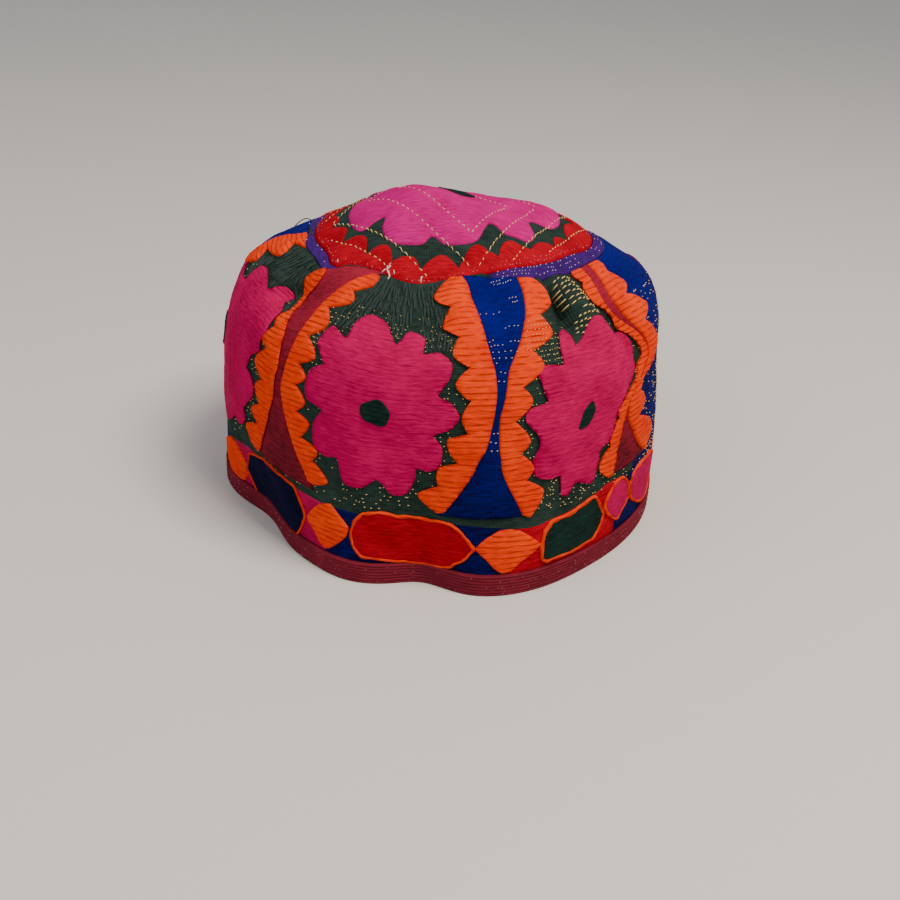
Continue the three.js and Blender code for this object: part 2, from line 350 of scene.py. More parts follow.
def woven_cotton(name, light, dark, thread=0.9, warp_shows=True, painted_top_light=0.0):
    """Plain-woven cotton: a fine grid of threads that cross over and under, with slubs. The real threads are
    0.4 mm, and they are drawn 0.9 mm so that the weave shows. A ribbed braid shows its lengthwise ribs alone.
    The last argument is painted light: how much lighter the colour is made at the top of the wall, where the
    light falls on it, than at the rim."""
    made, tree = new_material(name)
    cloth = add(tree, "UVMap", uv_map="cloth").outputs[0]
    wave = {"Vector": cloth, "Scale": BAND_UNIT / (thread * MM), "Distortion": 0.8, "Detail": 1.0}
    weave = add(tree, "TexWave", wave, bands_direction="Y").outputs["Fac"]
    if warp_shows:
        warp = add(tree, "TexWave", wave, bands_direction="X").outputs["Fac"]
        weave = add(tree, "Math", {0: warp, 1: weave}, operation="MULTIPLY").outputs[0]
    # Slubs are 5 mm long and 1.2 mm thick, and worn places lie 18 mm apart.
    slubs = drawn_out(tree, cloth, 5, 1.2, 4.0)
    wear = add(tree, "TexNoise", {"Vector": cloth, "Scale": 1 / (18 * MM), "Detail": 3.0}).outputs["Fac"]
    up = add(tree, "SeparateXYZ", {"Vector": cloth}).outputs["Y"]
    lit = add(tree, "Math", {0: weave, 1: 0.3}, operation="MULTIPLY").outputs[0]
    # Painted light: the colour grows lighter towards the top of the wall.
    for part, weight in ((slubs, 0.8), (wear, 0.6), (up, painted_top_light / (PAINTED_LIGHT_LENGTH * MM))):
        lit = add(tree, "Math", {0: part, 1: weight, 2: lit}, operation="MULTIPLY_ADD").outputs[0]
    span = {"Value": lit, "From Min": 0.45 + painted_top_light / 2, "From Max": 1.1 + painted_top_light / 2}
    lit = add(tree, "MapRange", span).outputs[0]
    colour = add(tree, "Mix", {0: lit, 6: linear(dark), 7: linear(light)}, data_type="RGBA").outputs[2]
    height = add(tree, "Math", {0: slubs, 1: 0.6, 2: weave}, operation="MULTIPLY_ADD").outputs[0]
    finish_material(tree, colour, height, 0.22 * MM, {"Roughness": 0.88, "Specular IOR Level": 0.06})
    return made


def spun_thread(name, colour, sheen, roughness, metallic=0.0):
    """Thread of one colour: cotton is soft and matt, and the gilt one has a metal strip round it that
    glints."""
    made, tree = new_material(name)
    place = add(tree, "TexCoord").outputs["Object"]
    # The twist shows as light and dark bits 0.5 mm across.
    twist = add(tree, "TexNoise", {"Vector": place, "Scale": 1 / (0.5 * MM), "Detail": 2.0}).outputs["Fac"]
    mixed = {0: twist, 6: linear(colour, 0.55), 7: linear(colour)}
    shade = add(tree, "Mix", mixed, data_type="RGBA").outputs[2]
    finish = {"Roughness": roughness, "Metallic": metallic, "Sheen Weight": sheen}
    finish_material(tree, shade, twist, 0.2 * MM, finish)
    return made


PINK_PITCH = 1.7
ORANGE_PITCH = 2.1
RIB_PITCH = 1.2

pink_wool = embroidery_wool("pink_embroidery_wool", "#bc0052", "#8e0036", PINK_PITCH, 0.16)
# The crown's pink is a lighter, cooler copy of the pink wool: painted light from above.
crown_wool_painted_light = embroidery_wool("pink_embroidery_wool_painted_top_light", "#c60076", "#960052", PINK_PITCH, 0.16)
orange_wool = embroidery_wool("orange_embroidery_wool", "#ea4200", "#c41e00", ORANGE_PITCH, 0.58)
red_wool = embroidery_wool("red_embroidery_wool", "#ac001c", "#78000e", PINK_PITCH, 0.18)
navy_wool = embroidery_wool("navy_embroidery_wool", "#06062e", "#000016", PINK_PITCH, 0.12)
green_wool = embroidery_wool("green_embroidery_wool", "#16302a", "#08140f", PINK_PITCH, 0.2)
green_cotton = woven_cotton("dark_green_woven_cotton", "#2e423a", "#0e1614")
# The blue and maroon cotton carry painted light, lighter towards the top of the wall.
blue_cotton = woven_cotton("royal_blue_woven_cotton", "#0c0c6c", "#00002a", painted_top_light=0.45)
maroon_cotton = woven_cotton("maroon_woven_cotton", "#961e34", "#3e060e", painted_top_light=0.5)
pink_cotton = woven_cotton("pink_woven_cotton", "#be1450", "#7c0430")
red_cotton = woven_cotton("red_woven_cotton", "#c00020", "#7a0010")
back_cotton = woven_cotton("cotton_back_of_the_cloth", "#54504c", "#34302e")
tape_weave = woven_cotton("violet_woven_tape", "#481c76", "#220a44", thread=0.8)
braid_weave = woven_cotton("maroon_ribbed_braid", "#782030", "#4c1018", thread=RIB_PITCH, warp_shows=False)
gilt_thread = spun_thread("gilt_thread", "#eac67a", 0.0, 0.4, metallic=0.25)
white_thread = spun_thread("white_cotton_thread", "#e6cfc8", 0.1, 0.8)
dusty_thread = spun_thread("dusty_pink_cotton_thread", "#c07484", 0.1, 0.7)
green_thread = spun_thread("dark_green_wool_thread", "#1c3028", 0.0, 0.9)


# Making meshes


def spun(section, steps, closed=True):
    """A ring of faces: the section's points, given as radius and height, turned all the way round."""
    bm = bmesh.new()
    verts = [bm.verts.new((radius, 0, height)) for radius, height in section]
    following = verts[1:] + verts[:1] if closed else verts[1:]
    edges = [bm.edges.new(pair) for pair in zip(verts, following)]
    bmesh.ops.spin(
        bm, geom=verts + edges, cent=(0, 0, 0), axis=(0, 0, 1), angle=2 * math.pi, steps=steps, use_merge=True
    )
    bmesh.ops.remove_doubles(bm, verts=bm.verts, dist=1e-5)
    bmesh.ops.recalc_face_normals(bm, faces=bm.faces)
    return bm


def mesh_of(bm, name):
    mesh = bpy.data.meshes.new(name)
    bm.to_mesh(mesh)
    bm.free()
    return mesh


def coordinates(mesh):
    flat = np.empty(len(mesh.vertices) * 3, np.float32)
    mesh.vertices.foreach_get("co", flat)
    return flat.reshape(-1, 3).astype(float)


def set_places(mesh, points):
    mesh.vertices.foreach_set("co", (points * MM).astype(np.float32).ravel())
    mesh.update()


def set_cloth_map(mesh, across, up, lap=None):
    """Writes the cloth's own flat coordinates, in metres, as a UV map. lap is the way round in
    millimetres, for a mesh that closes on itself."""
    corners = np.empty(len(mesh.loops), np.int32)
    mesh.loops.foreach_get("vertex_index", corners)
    u = across[corners]
    v = up[corners]
    if lap:
        starts = np.empty(len(mesh.polygons), np.int32)
        totals = np.empty(len(mesh.polygons), np.int32)
        mesh.polygons.foreach_get("loop_start", starts)
        mesh.polygons.foreach_get("loop_total", totals)
        first = np.repeat(u[starts], totals)
        u = u + lap * np.round((first - u) / lap)
    layer = mesh.uv_layers.new(name="cloth")
    layer.data.foreach_set("uv", (np.stack([u, v], -1) * MM).astype(np.float32).ravel())


def add_object(name, mesh, node=None, materials=()):
    made = bpy.data.objects.new(name, mesh)
    bpy.context.scene.collection.objects.link(made)
    for material in materials:
        mesh.materials.append(material)
    mesh.polygons.foreach_set("use_smooth", [True] * len(mesh.polygons))
    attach(made, "root")
    if node:
        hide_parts(node)
    return made


# A ring's flat coordinates before it is placed: depth is taken off this radius.
FLAT_RADIUS = 100.0


def flat_turn(points):
    return np.degrees(np.arctan2(points[:, 0], -points[:, 1]))


def ring_piece(name, section, steps, place, node, materials, pick_material):
    """A ring of cloth round the hat. section lists along and depth, place works out a point from turn,
    along and depth, and pick_material gives each face's material from its middle's turn, along and
    depth."""
    mesh = mesh_of(spun([(FLAT_RADIUS - depth, along) for along, depth in section], steps), name)
    points = coordinates(mesh)
    turn = flat_turn(points)
    along = points[:, 2]
    depth = FLAT_RADIUS - np.hypot(points[:, 0], points[:, 1])
    middles = np.empty(len(mesh.polygons) * 3, np.float32)
    mesh.polygons.foreach_get("center", middles)
    middles = middles.reshape(-1, 3)
    middle_depth = FLAT_RADIUS - np.hypot(middles[:, 0], middles[:, 1])
    picked = pick_material(flat_turn(middles), middles[:, 2], middle_depth)
    mesh.polygons.foreach_set("material_index", picked.astype(np.int32))
    placed, up = place(turn, along, depth)
    set_places(mesh, placed)
    set_cloth_map(mesh, turn * DEGREE, up, WHOLE_TURN * DEGREE)
    return add_object(name, mesh, node, materials)


def spaced(first, last, rows):
    return [float(value) for value in np.linspace(first, last, rows + 1)]


def distance_to(line, points):
    """How far each point is from a closed line."""
    nearest = np.full(len(points), FAR_AWAY)
    for start, end in zip(line, np.roll(line, -1, axis=0)):
        stretch = end - start
        share = np.clip(((points - start) @ stretch) / max(stretch @ stretch, 1e-12), 0, 1)
        nearest = np.minimum(nearest, np.linalg.norm(points - start - share[:, None] * stretch, axis=1))
    return nearest


def whole_steps(low, high, step):
    return np.arange(math.ceil(low / step), math.floor(high / step) + 1) * step


def stitched_patch(line, pitch, stride, rim=0.5):
    """A flat patch inside a closed line, cut into four strips for each row of yarn and into stretches of
    stride, with its edge turned down. Its bottom edge is marked by a height of -1."""
    bm = bmesh.new()
    bmesh.ops.create_circle(bm, cap_ends=True, segments=len(line), radius=1)
    bm.verts.ensure_lookup_table()
    for vert, (across, up) in zip(bm.verts, line):
        vert.co = (across, up, 0)
    bmesh.ops.inset_region(bm, faces=bm.faces[:], thickness=rim, use_even_offset=True, use_boundary=True)
    low, high = line.min(axis=0), line.max(axis=0)
    cuts = [((across, 0, 0), (1, 0, 0)) for across in whole_steps(low[0], high[0], stride)]
    cuts += [((0, up, 0), (0, 1, 0)) for up in whole_steps(low[1], high[1], pitch / 4)]
    for place, facing in cuts:
        everything = bm.verts[:] + bm.edges[:] + bm.faces[:]
        bmesh.ops.bisect_plane(bm, geom=everything, dist=1e-4, plane_co=place, plane_no=facing)
    bmesh.ops.recalc_face_normals(bm, faces=bm.faces)
    if sum(face.normal.z for face in bm.faces) < 0:
        bmesh.ops.reverse_faces(bm, faces=bm.faces)
    edges = [edge for edge in bm.edges if edge.is_boundary]
    turned = bmesh.ops.extrude_edge_only(bm, edges=edges)
    below = [item for item in turned["geom"] if isinstance(item, bmesh.types.BMVert)]
    bmesh.ops.translate(bm, verts=below, vec=(0, 0, -1))
    return bm


# How far a patch's edge and a cord's underside reach into the cloth
UNDERCUT = 0.4
# How far in from its edge a patch is rounded, and how high its edge stands, as a share
ROUNDING = 1.1
EDGE_SHARE = 0.3


def patch_mesh(line, place, pitch, stride, raised, ridge, rounding=ROUNDING):
    """A patch of embroidery over a closed line, raised in rounded rows, placed on the wall, band or
    crown. ridge is the height of its rows."""
    mesh = mesh_of(stitched_patch(line, pitch, stride), "patch")
    points = coordinates(mesh)
    across, up, level = points.T
    inside = np.clip(distance_to(line, points[:, :2]) / rounding, 0, 1)
    edge = np.sqrt(1 - (1 - inside) ** 2)
    # A wave whose tops lie where the wool's texture has its rows, and swells 5 and 6 mm across.
    row = 0.5 + 0.5 * np.sin(2 * math.pi * up / pitch + 1.2 * uneven(across, up, 7))
    rows = ridge * row * (1 + 0.9 * uneven(across, up * 2, 5))
    height = raised * (EDGE_SHARE + (1 - EDGE_SHARE) * edge) + (rows + 0.16 * uneven(across, up, 6)) * edge
    set_places(mesh, place(across, up, np.where(level < -0.5, UNDERCUT, -height)))
    set_cloth_map(mesh, across, up)
    return mesh


def add_joined(name, meshes, material):
    """Several meshes as one piece."""
    bm = bmesh.new()
    for mesh in meshes:
        bm.from_mesh(mesh)
        bpy.data.meshes.remove(mesh)
    add_object(name, mesh_of(bm, name), None, [material])


def add_patches(name, lines, place, material, work):
    """Patches over these closed lines as one piece. work holds the last settings of patch_mesh."""
    add_joined(name, [patch_mesh(line, place, **work) for line in lines], material)


# Where the wall has rolled up over the tape: turn, share, spread
TAPE_COVER = [(-88, 0.75, 10), (-38, 1, 6), (-29, 1, 8), (-14, 1, 9), (0, 1, 9), (11, 1, 6)]
ROLL_RISE = 0.7
ROLL_REACH = 8.0


def tape_cover(turn):
    return np.clip(sum_of_waves(TAPE_COVER, turn), 0, 1)


def roll(turn, along):
    """How far the rolled top of the wall stands out."""
    return ROLL_RISE * tape_cover(turn) * np.clip((along - OUTLINE_LENGTH) / ROLL_REACH + 1, 0, 1)


def on_wall(across, up, depth):
    turn = across / DEGREE
    return wall_point(turn, up, depth - roll(turn, up))


def on_crown(across, up, depth):
    turn = np.degrees(np.arctan2(across, -up))
    radius, _ = crown_edge(turn)
    return crown_point(turn, np.hypot(across, up) / radius, depth)


# The cloth under the embroidery


def wall_top(turn):
    return OUTLINE_LENGTH - (tape_width(turn) + GAP) * (1 - tape_cover(turn))


# A face or point that lies deeper than this is on the cloth's back.
BACK_DEPTH = 0.5


def place_wall(turn, share, depth):
    along = BAND_TOP + share / FLAT_RADIUS * (wall_top(turn) - BAND_TOP)
    return wall_point(turn, along, np.where(depth > BACK_DEPTH, depth, depth - roll(turn, along))), along


# The panel on blue cotton: where it starts, as way up and turn, and the turn where it ends
BLUE_START = [(28, 57), (64, 59.5), (66, 65), (90, 65), (96, 60), (120, 60)]
BLUE_END = 134
# Where the green cloth ends above the band: turn, way up
GREEN_END = [
    (-180, 27.2), (-96, 27), (-86, 24), (-74, 24.6), (-66, 26.8), (-62, 28), (4.5, 27.2), (10.8, 26.8),
    (19, 25.2), (23.5, 25), (27.2, 26.2), (35, 28), (70, 28), (90, 27.2), (180, 27.2),
]
# The row of the band that is moved to the green cloth's end
STRIP_EDGE = 26.3


def wall_cloth(turn, share, depth):
    along = BAND_TOP + share / FLAT_RADIUS * (OUTLINE_LENGTH - BAND_TOP)
    blue = (turn > looked_up(BLUE_START, along)) & (turn < BLUE_END)
    return np.where(depth > BACK_DEPTH, 2, blue)


# A row close to each end keeps the shading flat up to the edge.
EDGE_ROW = 0.15
wall_shares = [0] + spaced(EDGE_ROW, FLAT_RADIUS - EDGE_ROW, 96) + [FLAT_RADIUS]
ring_piece(
    "wall_ground_cloth",
    [(share, 0) for share in wall_shares] + [(share, CLOTH) for share in spaced(FLAT_RADIUS, 0, 24)],
    steps=400,
    place=place_wall,
    node="side_wall",
    materials=[green_cotton, blue_cotton, back_cotton],
    pick_material=wall_cloth,
)

# The band's cells round the hat, each as the turn where it starts. Long hexagons and diamonds take turns.
# start, end, kind, colour of the cell, colour of the cloth round it
CELLS = [
    (-82, -64, "diamond", "orange", None), (-64, -33, "hexagon", "navy", "pink"),
    (-33, -19.6, "diamond", "orange", None), (-19.6, 9.2, "hexagon", "red", "blue"),
    (9.2, 25, "diamond", "orange", None), (25, 45.5, "hexagon", "green", "red"),
    (45.5, 56.5, "diamond", "pink", None), (56.5, 80, "hexagon", "pink", "blue"),
    (80, 93.6, "diamond", "orange", None), (93.6, 119.6, "hexagon", "green", "pink"),
    (119.6, 133.2, "diamond", "orange", None), (133.2, 159.2, "hexagon", "red", "blue"),
    (159.2, 172.8, "diamond", "pink", None), (172.8, 198.8, "hexagon", "navy", "red"),
    (198.8, 212.4, "diamond", "orange", None), (212.4, 238.4, "hexagon", "pink", "blue"),
    (238.4, 252, "diamond", "orange", None), (252, 271, "hexagon", "red", "blue"),
]
# The outlines of the first eight cells, which are listed one by one: turn, way up
CELL_CHARTS = [
    [
        (-81, 15), (-79.5, 20), (-72, 25.5), (-67, 22.8), (-64.6, 17.4), (-65.5, 12.2), (-68, 7.8),
        (-71.5, 6.6), (-77, 8.6),
    ],
    [
        (-64, 16.6), (-60.6, 26), (-53, 28.8), (-47.2, 29.8), (-42, 29.4), (-37.2, 28.4), (-32.9, 18.6),
        (-36.4, 8.2), (-42, 7.2), (-47.8, 6.8), (-54, 6.2), (-60.4, 6.2),
    ],
    [
        (-32.5, 18.4), (-30.5, 23.2), (-28, 26.8), (-25, 28.5), (-22.8, 25.6), (-20, 21), (-20.6, 17),
        (-22.5, 13.5), (-24.8, 10.2), (-26.5, 9.2), (-28.5, 11.2), (-30, 14.6),
    ],
    [
        (-19.3, 19), (-18.8, 24), (-16.4, 28.2), (-12.8, 29.3), (-8.2, 28.2), (-4, 27.7), (0.2, 27.3),
        (3.8, 26.8), (5.5, 25), (7.2, 21.8), (9, 18.4), (7.2, 14.2), (4, 9.6), (0.2, 8.2), (-7.8, 9),
        (-12.2, 10.2), (-16.5, 10.8), (-18.6, 14.4),
    ],
    [
        (9.4, 18.2), (11.5, 22), (14.8, 25.3), (17.6, 25.4), (19.8, 24.3), (22.4, 21.4), (24.8, 18),
        (23, 15), (19.8, 12), (17.8, 9.2), (15.4, 8.8), (13.6, 11), (12, 14),
    ],
    [
        (25.2, 17), (26, 22), (27.8, 25.2), (30.6, 25.8), (35, 27), (40.4, 29.2), (42, 28), (43.5, 24.2),
        (45.3, 20.3), (44.8, 17.4), (43.5, 13.6), (41.6, 11.4), (36, 10.3), (31, 10.4), (27, 10.2),
        (25.6, 11.8),
    ],
    [
        (53, 30.9), (54.8, 28), (56.1, 24.8), (56.3, 20.4), (55.2, 17.6), (53.4, 15.4), (52, 13.6),
        (50, 14.8), (47.6, 18.4), (45.9, 21.8), (46, 25.2), (47.5, 28), (49, 30.2), (51.2, 31.2),
    ],
    [
        (56.8, 25.6), (57.8, 28.4), (60, 30), (65, 30), (72, 28.8), (77, 26), (79.5, 19), (77, 12),
        (72, 9.6), (67, 10.8), (63, 13.6), (59.6, 17), (57.4, 21.2),
    ],
]
band_grounds = ["blue", "pink", "red"]


def band_material(turn, along, depth):
    picked = np.zeros(len(turn))
    for index, (start, end, kind, _, ground) in enumerate(CELLS):
        if kind != "hexagon":
            continue
        before = CELLS[index - 1]
        after = CELLS[(index + 1) % len(CELLS)]
        first = start - (before[1] - before[0]) / 2
        width = end + (after[1] - after[0]) / 2 - first
        within = (turn - first) % WHOLE_TURN < width
        picked = np.where(within, band_grounds.index(ground), picked)
    picked = np.where(along > STRIP_EDGE, 4, picked)
    return np.where(depth > BACK_DEPTH, 3, picked)


def one_material(turn, along, depth):
    return np.zeros(len(turn))


def place_plain(turn, along, depth):
    return wall_point(turn, along, depth), along


def place_band(turn, along, depth):
    """The band, with the row at STRIP_EDGE moved to where the green cloth ends."""
    below = (along - HEM_HEIGHT) / (STRIP_EDGE - HEM_HEIGHT)
    above = (BAND_TOP - along) / (BAND_TOP - STRIP_EDGE)
    share = np.clip(np.where(along < STRIP_EDGE, below, above), 0, 1)
    moved = along + (looked_up(GREEN_END, turn) - STRIP_EDGE) * share
    return wall_point(turn, moved, depth), moved


BAND_EDGE_ROW = 0.12
band_ways = spaced(BRAID + GAP, HEM_HEIGHT, 3)[:-1] + spaced(HEM_HEIGHT, STRIP_EDGE, 16)
band_ways += spaced(STRIP_EDGE, BAND_TOP - BAND_EDGE_ROW, 2)[1:] + [BAND_TOP]
ring_piece(
    "band_ground_cloth",
    [(way, 0) for way in band_ways] + [(way, CLOTH) for way in spaced(BAND_TOP, BRAID + GAP, 6)],
    steps=360,
    place=place_band,
    node="lower_band",
    materials=[blue_cotton, pink_cotton, red_cotton, back_cotton, green_cotton],
    pick_material=band_material,
)

# The braid is folded over the rim: a ribbed outer leaf, the fold that the hat stands on, and a plain
# inner leaf.
braid_out = -GAP - BRAID
braid_in = CLOTH + GAP + BRAID
FOLD_ROUNDING = 0.6
RIB_HEIGHT = 0.14
braid_section = [(0, braid_out + FOLD_ROUNDING), (0.12, braid_out + 0.25)]
for way in spaced(0.5, HEM_HEIGHT - 0.4, 34):
    rib = 0.5 - 0.5 * math.sin(2 * math.pi * way / RIB_PITCH)
    braid_section.append((way, braid_out + RIB_HEIGHT * rib))
braid_section += [
    (HEM_HEIGHT, braid_out + FOLD_ROUNDING), (HEM_HEIGHT, -GAP), (BRAID, -GAP), (BRAID, CLOTH + GAP),
    (HEM_HEIGHT, CLOTH + GAP), (HEM_HEIGHT, braid_in), (HEM_HEIGHT / 2, braid_in),
    (FOLD_ROUNDING, braid_in), (0, braid_in - FOLD_ROUNDING),
]
ring_piece(
    "rim_braid",
    braid_section,
    steps=480,
    place=place_plain,
    node="hem_braid",
    materials=[braid_weave],
    pick_material=one_material,
)

# How far the tape stands out in its middle, and how far it sinks where the wall covers it
TAPE_PROUD = 0.35
TAPE_SINK = 0.8


def place_tape(turn, share, depth):
    width = tape_width(turn)
    along = OUTLINE_LENGTH - width + share / FLAT_RADIUS * width
    return wall_point(turn, along, depth + TAPE_SINK * tape_cover(turn)), along


tape_shares = spaced(0, FLAT_RADIUS, 12)
ring_piece(
    "seam_tape",
    [(share, -TAPE_PROUD * math.sin(math.pi * share / FLAT_RADIUS) ** 0.5) for share in tape_shares]
    + [(FLAT_RADIUS, TAPE), (0, TAPE)],
    steps=400,
    place=place_tape,
    node="crown_tape",
    materials=[tape_weave],
    pick_material=one_material,
)


def crown_flat(turn, radius):
    """The crown's flat coordinates, to the right and back, at this turn and radius."""
    angle = np.radians(turn)
    return np.stack([radius * np.sin(angle), -radius * np.cos(angle)], -1)


def crown_ground():
    """The crown's dark green disc: its section runs from the axis out over the top and back in
    underneath."""
    shares = spaced(0, FLAT_RADIUS, 60)
    section = [(share, 0) for share in shares] + [(share, -CLOTH) for share in shares[::-4]]
    mesh = mesh_of(spun(section, 240, closed=False), "crown_ground_cloth")
    points = coordinates(mesh)
    turn = flat_turn(points)
    share = np.hypot(points[:, 0], points[:, 1]) / FLAT_RADIUS
    below = np.array([polygon.center.z < -CLOTH / 2 for polygon in mesh.polygons])
    mesh.polygons.foreach_set("material_index", below.astype(np.int32))
    placed = crown_point(turn, share, -points[:, 2])
    set_places(mesh, placed)
    set_cloth_map(mesh, placed[:, 0], placed[:, 1])
    add_object("crown_ground_cloth", mesh, "crown", [green_cotton, back_cotton])


crown_ground()

# The wall's flowers, charted round their middles: right and up in millimetres of cloth
FLOWER = [
    (-8.9, 33.7), (-1.8, 32), (4.3, 24.5), (8.4, 30), (14.6, 27.5), (15.2, 21.5), (21.2, 21.5), (25.8, 18),
    (25.3, 13.3), (21.5, 7.3), (26.4, 4.5), (29.2, 0), (26.4, -4), (20.6, -6.5), (23.8, -11.3),
    (23.3, -18), (19.7, -20), (15.4, -19.3), (14.6, -24.3), (12, -29.5), (7.4, -29.7), (2.3, -24.5),
    (-3.8, -28.7), (-10, -28), (-13.1, -19.9), (-18, -20.5), (-22.7, -18.5), (-24, -10.3), (-20.3, -3.7),
    (-27.3, -1.5), (-28.9, 3.7), (-27, 9), (-22.3, 12.3), (-27.4, 19), (-23.3, 25.3), (-16.2, 22.7),
    (-14.1, 29.5),
]
LEANING_FLOWER = [
    (-4.4, 30.6), (-1.6, 28.6), (-2.2, 24), (2.8, 26.3), (6.9, 30), (11.1, 31.7), (19.9, 30.7), (21, 25.5),
    (24, 23), (30.7, 23.5), (35, 18.3), (35.3, 13.3), (29.2, 8.5), (20.7, 0.7), (15.7, -5.5),
    (14.1, -11.5), (7.7, -14.3), (6.1, -20.3), (3.4, -26), (-4.3, -23.7), (-7.7, -27.5), (-10.4, -27),
    (-11.5, -19.5), (-16.1, -19.7), (-21.2, -18), (-23, -12.7), (-20.5, -7.3), (-21.2, -2.7), (-26.1, 3),
    (-24.6, 6.3), (-17.5, 7.8), (-18.7, 11.7), (-20, 15.5), (-22, 20), (-16.1, 19.6), (-9.4, 19),
    (-9.4, 24.5), (-8, 29),
]
LEFT_FLOWER = [
    (9.5, 23.2), (9.5, 25.5), (11, 29.8), (14.1, 31.8), (20.3, 32.5), (26.9, 30.2), (30.4, 28),
    (33.5, 28.5), (35, 30.5), (38.7, 33), (42.2, 33.2), (44.2, 31.2), (44.5, 28), (47.6, 25), (47.3, 20),
    (47.3, 15), (45.3, 11.5), (45.8, 8), (41.1, 4.8), (38.4, 0.8), (36.8, -2.2), (39.6, -3.5), (43, -6),
    (43, -10.8), (36.8, -17.2), (33.8, -20), (34.5, -24.2), (31.5, -27.8), (27.3, -28.8), (24.3, -27.2),
    (18.4, -31.5), (12.3, -34), (5, -32), (-1, -27), (-7, -30.5), (-15, -28), (-17.5, -21), (-23, -22),
    (-30, -19), (-32, -11), (-28.5, -4.5), (-34.5, -1), (-35, 6), (-30, 10.5), (-32.5, 17), (-28, 23),
    (-20, 22), (-17, 28), (-11, 29), (-6, 23), (1, 22.3),
]
# Each flower: turn and way up of its middle, chart, stretch across, side (-1 is mirrored), then its
# heart's half width and half height, and how far the heart leans in degrees
FLOWERS = [
    (-15, 67.5, FLOWER, 1.0, 1, 5.6, 4.6, -8),
    (37, 62.5, LEANING_FLOWER, 1.0, 1, 5.4, 2.7, 50),
    (-83, 66, LEFT_FLOWER, 1.0, 1, 5.4, 6.8, 0),
    (111.5, 66, FLOWER, 0.8, -1, 5.4, 4.8, 10),
    (161, 65, LEANING_FLOWER, 0.75, 1, 5.6, 4.8, -6),
    (-144.7, 66, FLOWER, 0.94, -1, 5.6, 4.8, 4),
]
PETAL_ROUNDNESS = 0.8
PROUD_PINK = 0.7
# How a patch is worked: the pitch of its rows, the stretch that each is cut into, how far it stands out
# from the cloth and the height of its rows
PETAL_WORK = {"pitch": PINK_PITCH, "stride": 2.2, "raised": PROUD_PINK, "ridge": 0.05}
HEART_WORK = {"pitch": PINK_PITCH, "stride": 1.6, "raised": 0.3, "ridge": 0.2, "rounding": 0.7}
SCALLOP_WORK = {"pitch": ORANGE_PITCH, "stride": 1.8, "raised": 1.0, "ridge": 0.15}
COTTON_WORK = {"pitch": 4.0, "stride": 2.4, "raised": 0.3, "ridge": 0.0, "rounding": 0.5}

flower_lines = []
heart_lines = []
for turn, along, chart, stretch, side, half_width, half_height, lean in FLOWERS:
    line = catmull_rom(chart, 6, closed=True, roundness=PETAL_ROUNDNESS)
    line = line * (stretch * side, 1) + (turn * DEGREE, along)
    flower_lines.append(line[::side])
    circle = np.radians(np.arange(0, WHOLE_TURN, 7.5))
    wobble = 1 + 0.06 * np.sin(3 * circle + turn) + 0.04 * np.sin(5 * circle)
    tilt = math.radians(lean)
    x = half_width * np.cos(circle) * wobble
    y = half_height * np.sin(circle) * wobble
    leaning_x = x * math.cos(tilt) - y * math.sin(tilt)
    leaning_y = x * math.sin(tilt) + y * math.cos(tilt)
    heart_lines.append(np.stack([leaning_x, leaning_y], -1) + (turn * DEGREE, along))

# Hourglass columns between the panels, as rows from the bottom: along, left edge, right edge, in degrees
# from the column's turn
BLUE_COLUMN = [
    (30.5, -11.2, 8.3), (36, -8.8, 6.6), (42, -6.6, 4.5), (48, -4.4, 2.8), (52.5, -3.5, 2.5),
    (55.5, -2.1, 2.1), (61, -1.2, 2.0), (66.5, -0.5, 1.9), (70, -0.2, 2.5), (76, 0.2, 3.5),
    (82.5, -0.2, 4.2), (92, -1.9, 8.2), (100, -3.2, 11), (108, -4.4, 12.6), (114, -5.2, 13),
    (119.4, -8.2, 13.2),
]
LEFT_COLUMN = BLUE_COLUMN[:10] + [
    (82.5, -0.2, 9), (87, -1, 16), (92, -2, 22), (98, -3, 23.5), (104, -4, 23), (109, -4.6, 26),
    (113.2, -5.2, 30.8), (119.4, -8.2, 36),
]
MAROON_COLUMN = [
    (31.5, -13.5, 10.2), (36, -11, 8.4), (41, -9.4, 6.5), (46, -7.8, 4.2), (53, -5.8, 2.2),
    (60, -4.3, 0.2), (67, -4.2, -0.8), (73, -3.2, -0.3), (80, -3.8, 0.2), (86, -4.4, 1), (92, -5.6, 2.6),
    (98, -7.4, 3.9), (104, -7.6, 6), (109, -4.8, 9), (113, -4.2, 12.4), (119.4, -6, 17.8),
]
PINCHED_COLUMN = [
    (35.5, -9.3, 8.4), (38, -9.1, 6.4), (41, -8.6, 4), (45, -8.2, 1.6), (50, -6.9, -0.5), (54, -5.8, -2.6),
    (57.5, -4.8, -2.4), (61, -3.7, -2.6), (64.4, -1.9, -1.3), (65.4, 3, 3.8), (66.8, 5.3, 6.1),
    (70, 8.4, 9.4), (74, 9.6, 11.2), (78, 8.5, 10.3), (82.4, 6.2, 8.4), (87, 3, 5.6), (91.5, 0.4, 3.4),
    (95.5, -1.2, 2.2), (99, -2, 1.8), (102.5, -2.2, 2.4), (106, -1.8, 3.4), (109.8, -1.2, 4.8),
    (113, -1.8, 6),
]
